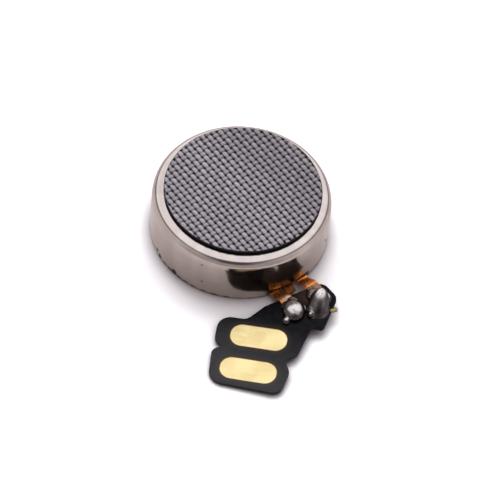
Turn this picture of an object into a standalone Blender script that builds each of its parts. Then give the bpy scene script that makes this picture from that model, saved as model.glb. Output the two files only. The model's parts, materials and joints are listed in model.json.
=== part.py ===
"""Vibration coin motor: a brushed flat eccentric-mass motor with a soldered two-pad contact tail.

The model is drawn in millimetres under one empty whose scale is 0.001, so the world is in metres.
+Z is up. The origin is the centre of the motor's flat bottom face.
"""

import math

import bpy
from mathutils import Matrix, Vector

# ---------------------------------------------------------------- driving dimensions, millimetres
CAN_RADIUS = 5.00
CAN_HEIGHT = 3.05
CAN_WALL = 0.20
CAN_SHOULDER = 0.45
SLOT_AZIMUTH = -51.0  # degrees from +X, the direction in which the leads leave
SLOT_WIDTH = 2.86
SLOT_HEIGHT = 0.50

BRACKET_RADIUS = 4.77
BRACKET_THICK = 0.20
HUB_OUTER, HUB_TOP = 0.75, 0.95
SHAFT_RADIUS = 0.40
SHAFT_BOTTOM, SHAFT_TOP = 0.14, 2.83

FPC_BOTTOM, FPC_TOP = 0.22, 0.32
FPC_RADIUS = 4.60
COGGING_BOTTOM, COGGING_TOP = 0.34, 0.42
MAGNET_INNER, MAGNET_OUTER = 2.35, 4.50
MAGNET_BOTTOM, MAGNET_TOP = 0.44, 1.12

BOARD_BOTTOM, BOARD_TOP = 1.25, 1.45
BOARD_RADIUS, BOARD_HUB_RADIUS = 4.35, 1.95
ROTOR_AZIMUTH = 124.0  # middle of the rotor's heavy half
ROTOR_HALF_SPREAD = 106.0
BUSH_INNER, BUSH_OUTER = 0.42, 0.85
BUSH_BOTTOM, BUSH_TOP = 1.09, 2.58
SEGMENT_COUNT = 6
SEGMENT_INNER, SEGMENT_OUTER = 1.00, 1.75
SEGMENT_BOTTOM, SEGMENT_TOP = 1.210, 1.235
COIL_BOTTOM, COIL_TOP = 1.47, 2.32
COIL_INNER, COIL_OUTER = 1.70, 4.20
COIL_START, COIL_END = 39.0, 102.0  # degrees either side of the heavy direction
COIL_WINDING = 0.72
WEIGHT_INNER, WEIGHT_OUTER, WEIGHT_HALF = 1.78, 4.45, 34.0
WEIGHT_BOTTOM, WEIGHT_TOP = 1.47, 2.60
MOULD_BOTTOM, MOULD_TOP = 1.47, 2.55
FIT = 0.02  # gap between neighbouring pieces

PAD_RADIUS = 4.41
PAD_AT = (0.01, 0.11)  # the pad is stuck on by hand, a little off the motor's axis
PAD_ADHESIVE_BOTTOM, PAD_ADHESIVE_TOP = 3.07, 3.12
PAD_BOTTOM, PAD_TOP = 3.13, 3.29

LEG_SPACING = 1.73
WEB_END = 5.50  # the film between the leads
LEG_WIDTH, LEG_THICK = 0.75, 0.07
LEG_START, LEG_END = 4.88, 6.85  # outward distances from the motor's axis

HINGE_OUT, HINGE_HEIGHT = 5.50, 0.42  # where the leads bend
TAIL_OUT, TAIL_HEIGHT = 5.50, 0.592  # a point on the tail's top face
TAIL_TILT = 3.2  # degrees, the lead side sits higher than the far lobe
DRAWING_TURN = -44.0  # the tail's own drawing, about its normal
DRAWING_AT = (-3.55, -1.64)  # the upper contact pad's centre from the tail point
COVER_THICK = 0.035
BASE_THICK = 0.12
LAYER_GAP = 0.010
CONTACT_SIZE, CONTACT_CORNER = (3.20, 1.46), 0.68
CONTACT_PITCH = (-0.20, -2.26)
CONTACT_THICK = 0.025
LAND_SIZE = (1.00, 1.15)

STEPS = 72


# ---------------------------------------------------------------- scene
for old in list(bpy.data.objects):
    bpy.data.objects.remove(old, do_unlink=True)

scene = bpy.context.scene
parts = bpy.data.collections.new("vibration_coin_motor")
cutters = bpy.data.collections.new("cutters")
scene.collection.children.link(parts)
scene.collection.children.link(cutters)


def empty(name, parent=None, location=(0, 0, 0), rotation=(0, 0, 0), scale=1.0):
    holder = bpy.data.objects.new(name, None)
    holder.empty_display_size = 1.0
    parts.objects.link(holder)
    holder.parent = parent
    holder.location = location
    holder.rotation_euler = [math.radians(a) for a in rotation]
    holder.scale = (scale, scale, scale)
    return holder


root = empty("motor_root", scale=0.001)
rotor = empty("rotor_axis", root, rotation=(0, 0, ROTOR_AZIMUTH))
# x runs along the can's tangent at the slot, y points back to the motor
slot_frame = empty("slot_frame", root, rotation=(0, 0, SLOT_AZIMUTH + 90.0))
tail_hinge = empty("tail_hinge", slot_frame, (0, -HINGE_OUT, HINGE_HEIGHT))
tail_plane = empty(
    "tail_plane",
    tail_hinge,
    (0, HINGE_OUT - TAIL_OUT, TAIL_HEIGHT - HINGE_HEIGHT),
    (0, -TAIL_TILT, 0),
)
tail_drawing = empty(
    "tail_drawing", tail_plane, (*DRAWING_AT, 0), (0, 0, DRAWING_TURN)
)


def material(name, colour, metallic, roughness):
    made = bpy.data.materials.new(name)
    made.use_nodes = True
    made.diffuse_color = (*colour, 1.0)
    shader = made.node_tree.nodes["Principled BSDF"]
    shader.inputs["Base Color"].default_value = (*colour, 1.0)
    shader.inputs["Metallic"].default_value = metallic
    shader.inputs["Roughness"].default_value = roughness
    return made


def place(obj, finish, parent, collection=parts, location=(0, 0, 0), rotation=(0, 0, 0)):
    collection.objects.link(obj)
    obj.parent = parent
    obj.location = location
    obj.rotation_euler = [math.radians(a) for a in rotation]
    if finish is not None:
        obj.data.materials.append(finish)
    if collection is cutters:
        obj.hide_render = True
        obj.display_type = "WIRE"
    return obj


# ---------------------------------------------------------------- shapes
def turned(name, profile, finish, parent=root, steps=STEPS, collection=parts, closed=True, **where):
    """A profile of (radius, height) points, turned about Z. It runs down its outer side."""
    mesh = bpy.data.meshes.new(name)
    count = len(profile)
    edges = [(i, i + 1) for i in range(count - 1)]
    if closed and profile[0][0] > 0:
        edges.append((count - 1, 0))
    mesh.from_pydata([(r, 0, z) for r, z in profile], edges, [])
    obj = place(bpy.data.objects.new(name, mesh), finish, parent, collection, **where)
    screw = obj.modifiers.new("turn", "SCREW")
    screw.axis = "Z"
    screw.steps = screw.render_steps = steps
    screw.use_merge_vertices = True
    screw.merge_threshold = 1e-5
    screw.use_smooth_shade = False
    return obj


def ring(r0, r1, z0, z1):
    """The profile of a plain ring."""
    return [(r1, z1), (r1, z0), (r0, z0), (r0, z1)]


def arc(radius, start, end, count, centre=(0.0, 0.0)):
    """Points along an arc, angles in degrees."""
    angles = [math.radians(start + (end - start) * i / count) for i in range(count + 1)]
    return [(centre[0] + radius * math.cos(a), centre[1] + radius * math.sin(a)) for a in angles]


def filleted(corners, count=5):
    """A closed outline from (x, y, corner radius): each corner becomes an arc."""
    outline = []
    total = len(corners)
    for i, (x, y, radius) in enumerate(corners):
        here = Vector((x, y))
        before = Vector(corners[i - 1][:2]) - here
        after = Vector(corners[(i + 1) % total][:2]) - here
        if radius <= 0:
            outline.append((x, y))
            continue
        half = before.angle(after) / 2
        back = min(radius / math.tan(half), 0.49 * before.length, 0.49 * after.length)
        radius = back * math.tan(half)
        middle = here + (before.normalized() + after.normalized()).normalized() * (
            radius / math.sin(half)
        )
        first = here + before.normalized() * back - middle
        last = here + after.normalized() * back - middle
        sweep = first.angle_signed(last)
        for k in range(count + 1):
            turn = Matrix.Rotation(-sweep * k / count, 2)
            point = middle + turn @ first
            outline.append((point.x, point.y))
    return outline


def rounded_box(width, depth, radius, centre=(0.0, 0.0), grow=0.0, count=6):
    w, d = width / 2 + grow, depth / 2 + grow
    x, y = centre
    return filleted(
        [
            (x - w, y - d, radius + grow),
            (x + w, y - d, radius + grow),
            (x + w, y + d, radius + grow),
            (x - w, y + d, radius + grow),
        ],
        count,
    )


def sector(r0, r1, start, end, count=14):
    """The outline of a piece of a ring, angles in degrees."""
    inner = max(3, round(count * 0.6))
    return arc(r1, start, end, count) + arc(r0, end, start, inner)


def soft_sector(r0, r1, start, end, inset=0.0):
    """A piece of a ring with its radial sides moved in parallel by the inset."""
    outer, inner = r1 - inset, r0 + inset
    outer_turn = math.degrees(math.asin(inset / outer))
    inner_turn = math.degrees(math.asin(inset / inner))
    return arc(outer, start + outer_turn, end - outer_turn, 12) + arc(
        inner, end - inner_turn, start + inner_turn, 6
    )


def plate_curve(name, loops, low, high):
    """A flat outline, with any inner loops as openings, from one height to another."""
    curve = bpy.data.curves.new(name, "CURVE")
    curve.dimensions = "2D"
    curve.fill_mode = "BOTH"
    curve.extrude = (high - low) / 2
    for loop in loops:
        spline = curve.splines.new("POLY")
        spline.points.add(len(loop) - 1)
        for point, (x, y) in zip(spline.points, loop):
            point.co = (x, y, 0, 1)
        spline.use_cyclic_u = True
    return curve


def plate(name, loops, low, high, finish, parent=root, **where):
    location = where.pop("location", (0, 0, 0))
    lifted = (location[0], location[1], location[2] + (low + high) / 2)
    curve = plate_curve(name, loops, low, high)
    return place(bpy.data.objects.new(name, curve), finish, parent, location=lifted, **where)


def as_mesh(obj, collection=parts):
    """The same object as a mesh with its caps welded, so that it can be cut or can cut."""
    import bmesh

    bpy.context.view_layer.update()
    graph = bpy.context.evaluated_depsgraph_get()
    mesh = bpy.data.meshes.new_from_object(obj.evaluated_get(graph))
    name, parent, local = obj.name, obj.parent, obj.matrix_local.copy()
    old = obj.data
    bpy.data.objects.remove(obj, do_unlink=True)
    mesh.name = name
    work = bmesh.new()
    work.from_mesh(mesh)
    bmesh.ops.remove_doubles(work, verts=work.verts, dist=1e-5)
    bmesh.ops.recalc_face_normals(work, faces=work.faces)
    work.to_mesh(mesh)
    work.free()
    if old.users == 0 and isinstance(old, bpy.types.Curve):
        bpy.data.curves.remove(old)
    made = bpy.data.objects.new(name, mesh)
    collection.objects.link(made)
    made.parent = parent
    made.matrix_local = local
    if collection is cutters:
        made.hide_render = True
        made.display_type = "WIRE"
    return made


def plate_mesh(name, loops, low, high, finish, parent=root, collection=parts, **where):
    return as_mesh(plate(name, loops, low, high, finish, parent, **where), collection)


def cut(obj, tool, operation="DIFFERENCE"):
    modifier = obj.modifiers.new(tool.name, "BOOLEAN")
    modifier.operation = operation
    modifier.solver = "EXACT"
    modifier.object = tool


def cutter_box(name, size, location, parent, rotation=(0, 0, 0)):
    import bmesh

    mesh = bpy.data.meshes.new(name)
    work = bmesh.new()
    bmesh.ops.create_cube(work, size=1.0)
    bmesh.ops.scale(work, vec=size, verts=work.verts)
    work.to_mesh(mesh)
    work.free()
    return place(bpy.data.objects.new(name, mesh), None, parent, cutters, location, rotation)


def strip_outline(path, thick):
    """The closed side view of a strip of even thickness whose middle follows the path."""
    points = [Vector(p) for p in path]
    left, right = [], []
    for i, point in enumerate(points):
        a = (point - points[i - 1]).normalized() if i else None
        b = (points[i + 1] - point).normalized() if i + 1 < len(points) else None
        along = ((a or b) + (b or a)).normalized()
        across = Vector((-along.y, along.x))
        spread = thick / 2 / max(0.5, across.dot(Vector((-(b or a).y, (b or a).x))))
        left.append(point + across * spread)
        right.append(point - across * spread)
    return [tuple(p) for p in left + right[::-1]]


def smooth_path(points, per=4):
    """A Catmull-Rom curve through the points."""
    p = [Vector(q) for q in points]
    p = [2 * p[0] - p[1], *p, 2 * p[-1] - p[-2]]
    found = []
    for i in range(1, len(p) - 2):
        for k in range(per):
            t = k / per
            a, b, c, d = p[i - 1], p[i], p[i + 1], p[i + 2]
            found.append(
                0.5 * (2 * b + (c - a) * t + (2 * a - 5 * b + 4 * c - d) * t**2 + (3 * b - a - 3 * c + d) * t**3)
            )
    return [tuple(q) for q in found + [p[-2]]]


# ---------------------------------------------------------------- finishes
nickel = material("nickel_plated_steel", (0.66, 0.63, 0.58), 1.0, 0.28)
steel = material("bright_steel", (0.60, 0.60, 0.60), 1.0, 0.25)
fabric = material("black_woven_fabric", (0.07, 0.065, 0.075), 0.0, 0.85)
adhesive = material("dark_adhesive", (0.03, 0.03, 0.03), 0.0, 0.6)
amber = material("amber_film", (0.55, 0.24, 0.05), 0.0, 0.35)
copper = material("copper_lead", (0.72, 0.33, 0.13), 0.8, 0.35)
winding = material("enamelled_winding", (0.60, 0.25, 0.10), 0.8, 0.4)
magnet = material("plated_magnet", (0.35, 0.35, 0.36), 0.9, 0.4)
plate_steel = material("cogging_steel", (0.45, 0.45, 0.45), 1.0, 0.4)
spring = material("brush_alloy", (0.85, 0.65, 0.30), 1.0, 0.25)
bronze = material("sintered_bronze", (0.55, 0.38, 0.18), 0.9, 0.5)
washer = material("washer_plastic", (0.80, 0.80, 0.76), 0.0, 0.5)
laminate = material("board_laminate", (0.10, 0.28, 0.14), 0.0, 0.5)
tungsten = material("tungsten_alloy", (0.30, 0.30, 0.31), 0.9, 0.5)
resin = material("rotor_resin", (0.06, 0.06, 0.07), 0.0, 0.45)
gold = material("gold_plating", (0.92, 0.80, 0.45), 1.0, 0.3)
black_film = material("black_cover_film", (0.035, 0.037, 0.045), 0.0, 0.45)
core_film = material("board_core", (0.05, 0.045, 0.04), 0.0, 0.5)
solder = material("solder", (0.42, 0.42, 0.44), 1.0, 0.2)


# ---------------------------------------------------------------- can and bracket
inner = CAN_RADIUS - CAN_WALL
ceiling = CAN_HEIGHT - CAN_WALL
outer_fillet = arc(CAN_SHOULDER, 90, 0, 4, (CAN_RADIUS - CAN_SHOULDER, CAN_HEIGHT - CAN_SHOULDER))
inner_fillet = arc(
    CAN_SHOULDER - CAN_WALL, 0, 90, 2, (CAN_RADIUS - CAN_SHOULDER, CAN_HEIGHT - CAN_SHOULDER)
)
case_can = turned(
    "case_can",
    [
        (0, CAN_HEIGHT),
        *outer_fillet,
        (CAN_RADIUS, 0.05),
        (CAN_RADIUS - 0.05, 0),
        (inner, 0),
        *inner_fillet,
        (0, ceiling),
    ],
    nickel,
)
cut(
    case_can,
    cutter_box(
        "lead_slot",
        (SLOT_WIDTH, 1.6, SLOT_HEIGHT + 0.5),
        (0, -CAN_RADIUS, SLOT_HEIGHT / 2 - 0.25),
        slot_frame,
    ),
)

turned(
    "base_bracket",
    [
        (0, 0.12),
        (SHAFT_RADIUS + FIT, 0.12),
        (SHAFT_RADIUS + FIT, HUB_TOP),
        (HUB_OUTER, HUB_TOP),
        (HUB_OUTER, BRACKET_THICK + 0.08),
        (HUB_OUTER + 0.08, BRACKET_THICK),
        (BRACKET_RADIUS, BRACKET_THICK),
        (BRACKET_RADIUS, 0),
        (0, 0),
    ],
    nickel,
)
turned(
    "shaft",
    [
        (0, SHAFT_TOP),
        (SHAFT_RADIUS - 0.05, SHAFT_TOP),
        (SHAFT_RADIUS, SHAFT_TOP - 0.05),
        (SHAFT_RADIUS, SHAFT_BOTTOM + 0.05),
        (SHAFT_RADIUS - 0.05, SHAFT_BOTTOM),
        (0, SHAFT_BOTTOM),
    ],
    steel,
    steps=32,
)
turned("lower_thrust_washer", ring(0.43, 0.72, 0.97, 1.06), washer, steps=32)
turned("upper_thrust_washer", ring(0.43, 0.80, 2.60, 2.69), washer, steps=32)

# ---------------------------------------------------------------- woven pad on the can
turned(
    "pad_adhesive",
    [(0, PAD_ADHESIVE_TOP), (PAD_RADIUS - 0.04, PAD_ADHESIVE_TOP), (PAD_RADIUS - 0.04, PAD_ADHESIVE_BOTTOM), (0, PAD_ADHESIVE_BOTTOM)],
    adhesive,
    location=(*PAD_AT, 0),
)
turned(
    "top_fabric_pad",
    [(0, PAD_TOP), (PAD_RADIUS - 0.04, PAD_TOP), (PAD_RADIUS, PAD_TOP - 0.04), (PAD_RADIUS, PAD_BOTTOM), (0, PAD_BOTTOM)],
    fabric,
    location=(*PAD_AT, 0),
)

# ---------------------------------------------------------------- stator: circuit, magnet, brushes
edge = math.degrees(math.asin((LEG_SPACING + LEG_WIDTH) / 2 / FPC_RADIUS))
half_tongue = (LEG_SPACING + LEG_WIDTH) / 2
half_web = (LEG_SPACING - LEG_WIDTH) / 2 - 0.04
circuit_outline = arc(FPC_RADIUS, -90 + edge, 270 - edge, 60) + [
    (-half_tongue, -LEG_START + FIT),
    (-half_web, -LEG_START + FIT),
    (-half_web + 0.06, -WEB_END),
    (half_web - 0.34, -WEB_END + 0.06),
    (half_web - 0.24, -LEG_START + FIT),
    (half_tongue, -LEG_START + FIT),
]
plate(
    "internal_fpc",
    [circuit_outline, arc(0.86, 0, 345, 23)],
    FPC_BOTTOM,
    FPC_TOP,
    amber,
    slot_frame,
)


def ear_radius(angle):
    """The cogging plate's outer edge: four ears between four shallow flats."""
    lobe = 0.5 + 0.5 * math.cos(math.radians(4 * angle))
    return 3.55 + 0.85 * min(1.0, max(0.0, 3.0 * lobe - 1.0))


plate(
    "cogging_plate",
    [
        [(ear_radius(a) * math.cos(math.radians(a)), ear_radius(a) * math.sin(math.radians(a))) for a in range(0, 360, 6)],
        arc(2.45, 0, 350, 35),
    ],
    COGGING_BOTTOM,
    COGGING_TOP,
    plate_steel,
)
turned("ring_magnet", ring(MAGNET_INNER, MAGNET_OUTER, MAGNET_BOTTOM, MAGNET_TOP), magnet, steps=60)

brush_path = smooth_path(
    [(-1.50, 0.375), (-0.95, 0.375), (-0.65, 0.46), (-0.10, 0.98), (0.22, 1.145), (0.55, 1.02)], 3
)
brush_side = strip_outline(brush_path, 0.06)
for name, turn in (("brush_positive", 0.0), ("brush_negative", 90.0)):
    holder = empty(name + "_seat", root, rotation=(0, 0, turn))
    plate(name, [brush_side], -0.16, 0.16, spring, holder, rotation=(90, 0, 90), location=(1.35, 0, 0))
    seated = bpy.data.objects[name]
    seated.location = (1.35, 0, 0)

# ---------------------------------------------------------------- rotor
turned("bearing_bush", ring(BUSH_INNER, BUSH_OUTER, BUSH_BOTTOM, BUSH_TOP), bronze, rotor, steps=40)

spread = ROTOR_HALF_SPREAD
board_outline = arc(BOARD_RADIUS, -spread, spread, 44) + arc(
    BOARD_HUB_RADIUS, spread, 360 - spread, 20
)
board_hole = arc(BUSH_OUTER + FIT, 0, 351, 39)
plate("commutator_board", [board_outline, board_hole], BOARD_BOTTOM, BOARD_TOP, laminate, rotor)

step = 360 / SEGMENT_COUNT
for i in range(SEGMENT_COUNT):
    plate(
        f"commutator_segment_{i + 1}",
        [sector(SEGMENT_INNER, SEGMENT_OUTER, i * step + 4, (i + 1) * step - 4, 6)],
        SEGMENT_BOTTOM,
        SEGMENT_TOP,
        gold,
        rotor,
    )

coil_sides = {"coil_1": (COIL_START, COIL_END), "coil_2": (-COIL_END, -COIL_START)}
for name, (start, end) in coil_sides.items():
    plate(
        name,
        [
            soft_sector(COIL_INNER, COIL_OUTER, start, end),
            soft_sector(COIL_INNER, COIL_OUTER, start, end, COIL_WINDING),
        ],
        COIL_BOTTOM,
        COIL_TOP,
        winding,
        rotor,
    )

plate(
    "eccentric_weight",
    [sector(WEIGHT_INNER, WEIGHT_OUTER, -WEIGHT_HALF, WEIGHT_HALF, 18)],
    WEIGHT_BOTTOM,
    WEIGHT_TOP,
    tungsten,
    rotor,
)

mould = plate_mesh(
    "rotor_mould",
    [
        arc(BOARD_RADIUS, -spread, spread, 44) + arc(1.40, spread, 360 - spread, 16),
        board_hole,
    ],
    MOULD_BOTTOM,
    MOULD_TOP,
    resin,
    rotor,
)
cut(
    mould,
    plate_mesh(
        "weight_pocket",
        [sector(WEIGHT_INNER - FIT, 5.2, -WEIGHT_HALF - 0.7, WEIGHT_HALF + 0.7, 18)],
        1.30,
        2.80,
        None,
        rotor,
        cutters,
    ),
)
for name, (start, end) in coil_sides.items():
    cut(
        mould,
        plate_mesh(
            name + "_pocket",
            [
                soft_sector(COIL_INNER - FIT, COIL_OUTER + FIT, start - 0.5, end + 0.5),
                soft_sector(COIL_INNER, COIL_OUTER, start, end, COIL_WINDING + FIT),
            ],
            1.30,
            COIL_TOP + FIT,
            None,
            rotor,
            cutters,
        ),
    )

# ---------------------------------------------------------------- leads
for name, side in (("lead_leg_a", -1), ("lead_leg_b", 1)):
    across = side * LEG_SPACING / 2
    landing = TAIL_HEIGHT + math.tan(math.radians(TAIL_TILT)) * across + LEG_THICK / 2 + 0.045
    leg_path = smooth_path(
        [
            (LEG_START, 0.27),
            (5.16, 0.29),
            (5.66, landing - 0.01),
            (5.98, landing + 0.01),
            (LEG_END, landing),
        ],
        4,
    )
    plate(
        name,
        [strip_outline(leg_path, LEG_THICK)],
        -LEG_WIDTH / 2,
        LEG_WIDTH / 2,
        copper,
        slot_frame,
        rotation=(90, 0, -90),
    )
    bpy.data.objects[name].location = (across, 0, 0)

# ---------------------------------------------------------------- contact tail
tail_outline = filleted(
    [
        (-2.40, 1.10, 0.92),
        (-0.85, 1.10, 0.60),
        (-0.02, 2.14, 0.50),
        (2.86, 4.12, 0.40),
        (3.70, 3.36, 0.50),
        (3.30, 1.20, 0.22),
        (2.74, 1.18, 0.30),
        (2.30, -0.80, 0.45),
        (1.68, -1.26, 0.28),
        (2.06, -1.96, 0.40),
        (1.80, -3.52, 0.60),
        (-2.28, -3.36, 0.85),
        (-2.42, -1.16, 0.85),
        (-1.80, -0.94, 0.16),
        (-2.40, -0.62, 0.70),
    ],
    6,
)
contacts = {"contact_pad_a": (0.0, 0.0), "contact_pad_b": CONTACT_PITCH}
LAND_OUT = {"solder_land_a": (-0.90, 6.62), "solder_land_b": (0.70, 6.84)}
cover_top = 0.0
cover_low = cover_top - COVER_THICK
base_top = cover_low - LAYER_GAP
base_low = base_top - BASE_THICK

window_loops = [
    rounded_box(*CONTACT_SIZE, CONTACT_CORNER, centre, FIT) for centre in contacts.values()
]
plate("terminal_fpc_base", [tail_outline], base_low, base_top, core_film, tail_drawing)


def in_drawing(x, out):
    """A point given along and out from the slot, in the tail's own drawing."""
    dx, dy = x - DRAWING_AT[0], -(out - TAIL_OUT) - DRAWING_AT[1]
    a = math.radians(-DRAWING_TURN)
    return dx * math.cos(a) - dy * math.sin(a), dx * math.sin(a) + dy * math.cos(a)


def turned_box(centre, size, corner, grow=0.0):
    """A rounded rectangle square to the leads, in the tail's own drawing."""
    a = math.radians(-DRAWING_TURN)
    return [
        (centre[0] + x * math.cos(a) - y * math.sin(a), centre[1] + x * math.sin(a) + y * math.cos(a))
        for x, y in rounded_box(*size, corner, (0, 0), grow, 3)
    ]


land_centres = {name: in_drawing(*at) for name, at in LAND_OUT.items()}
window_loops += [turned_box(centre, LAND_SIZE, 0.15, FIT) for centre in land_centres.values()]
plate("terminal_fpc_coverlay", [tail_outline, *window_loops], cover_low, cover_top, black_film, tail_drawing)
for name, centre in contacts.items():
    plate(
        name,
        [rounded_box(*CONTACT_SIZE, CONTACT_CORNER, centre)],
        cover_low,
        cover_low + CONTACT_THICK,
        gold,
        tail_drawing,
    )
for name, centre in land_centres.items():
    plate(name, [turned_box(centre, LAND_SIZE, 0.15)], cover_low, cover_low + CONTACT_THICK, copper, tail_drawing)


def dome(radius, height, count=5):
    """The profile of a solder lump: steep sides, round top."""
    return [
        (radius * math.sin(a) ** 0.8, 0.01 + height * math.cos(a))
        for a in (math.pi / 2 * i / count for i in range(count + 1))
    ][:-1] + [(radius, 0.01 + height * 0.10), (radius * 0.96, 0.01), (0, 0.01)]


SOLDER = {
    # centre in the tail's drawing, half width, length over width, height
    "solder_joint_a": ((1.62, 2.08), 0.63, 1.12, 0.72),
    "solder_joint_b": ((3.01, 2.58), 0.72, 1.80, 0.86),
}
for (name, (centre, radius, stretch, height)), side in zip(SOLDER.items(), (-1, 1)):
    lump = turned(name, dome(radius, height), solder, tail_drawing, steps=28)
    lump.location = (*centre, 0)
    lump.scale = (1, stretch, 1)
    cut(
        lump,
        cutter_box(
            name + "_lead_pocket",
            (LEG_WIDTH + 2 * FIT, LEG_END + FIT - TAIL_OUT + 1.0, 0.5),
            (
                side * LEG_SPACING / 2,
                -(LEG_END + FIT - TAIL_OUT - 1.0) / 2,
                0.045 + LEG_THICK + 0.045 - 0.25,
            ),
            tail_plane,
        ),
    )

# ---------------------------------------------------------------- shading
for obj in parts.objects:
    if obj.type == "MESH":
        obj.data.shade_smooth()
        obj.data.set_sharp_from_angle(angle=math.radians(35))
bpy.context.view_layer.update()
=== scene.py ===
"""Looks for the vibration coin motor. Everything is drawn in millimetres and brought to metres at the end of each piece."""

import json
import math
import random

import bmesh
import bpy
import numpy as np
from mathutils import Matrix, Vector

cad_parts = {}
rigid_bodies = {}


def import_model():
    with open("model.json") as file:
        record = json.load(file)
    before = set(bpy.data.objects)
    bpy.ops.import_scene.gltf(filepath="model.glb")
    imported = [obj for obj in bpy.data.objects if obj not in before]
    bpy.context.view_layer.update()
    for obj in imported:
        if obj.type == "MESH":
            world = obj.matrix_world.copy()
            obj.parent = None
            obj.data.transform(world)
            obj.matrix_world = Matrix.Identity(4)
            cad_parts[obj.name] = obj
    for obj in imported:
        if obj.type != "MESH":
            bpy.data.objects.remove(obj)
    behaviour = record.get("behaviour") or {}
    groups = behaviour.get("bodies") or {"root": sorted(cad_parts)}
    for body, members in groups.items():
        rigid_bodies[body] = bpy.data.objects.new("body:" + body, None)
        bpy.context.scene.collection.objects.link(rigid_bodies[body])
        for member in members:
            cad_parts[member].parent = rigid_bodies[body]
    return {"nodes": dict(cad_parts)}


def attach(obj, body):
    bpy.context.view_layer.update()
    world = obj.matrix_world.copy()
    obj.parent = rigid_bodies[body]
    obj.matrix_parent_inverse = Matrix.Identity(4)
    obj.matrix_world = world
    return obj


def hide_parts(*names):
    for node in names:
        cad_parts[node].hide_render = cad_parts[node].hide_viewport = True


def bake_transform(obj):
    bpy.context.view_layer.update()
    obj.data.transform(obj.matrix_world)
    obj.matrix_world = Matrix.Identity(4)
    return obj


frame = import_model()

bpy.context.view_layer.update()

for old in list(bpy.data.objects):
    if old.name in ("Cube", "Light", "Camera"):
        bpy.data.objects.remove(old, do_unlink=True)

scene = bpy.context.scene
MM = Matrix.Scale(0.001, 4)


# ------------------------------------------------------------------ the object's own frames, millimetres
SLOT = Matrix.Rotation(math.radians(39.0), 4, "Z")
PLANE = SLOT @ Matrix.Translation((0, -5.50, 0.592)) @ Matrix.Rotation(math.radians(-3.2), 4, "Y")
DRAWING_TURN = -44.0
DRAWING_AT = (-3.55, -1.64)
DRAWING = PLANE @ Matrix.Translation((*DRAWING_AT, 0)) @ Matrix.Rotation(math.radians(DRAWING_TURN), 4, "Z")
PAD_CENTRE = (0.03, 0.18)
PAD_RADIUS = 4.40
PAD_SHRINK = 0.984  # the cut pad is slightly narrower across


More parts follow.
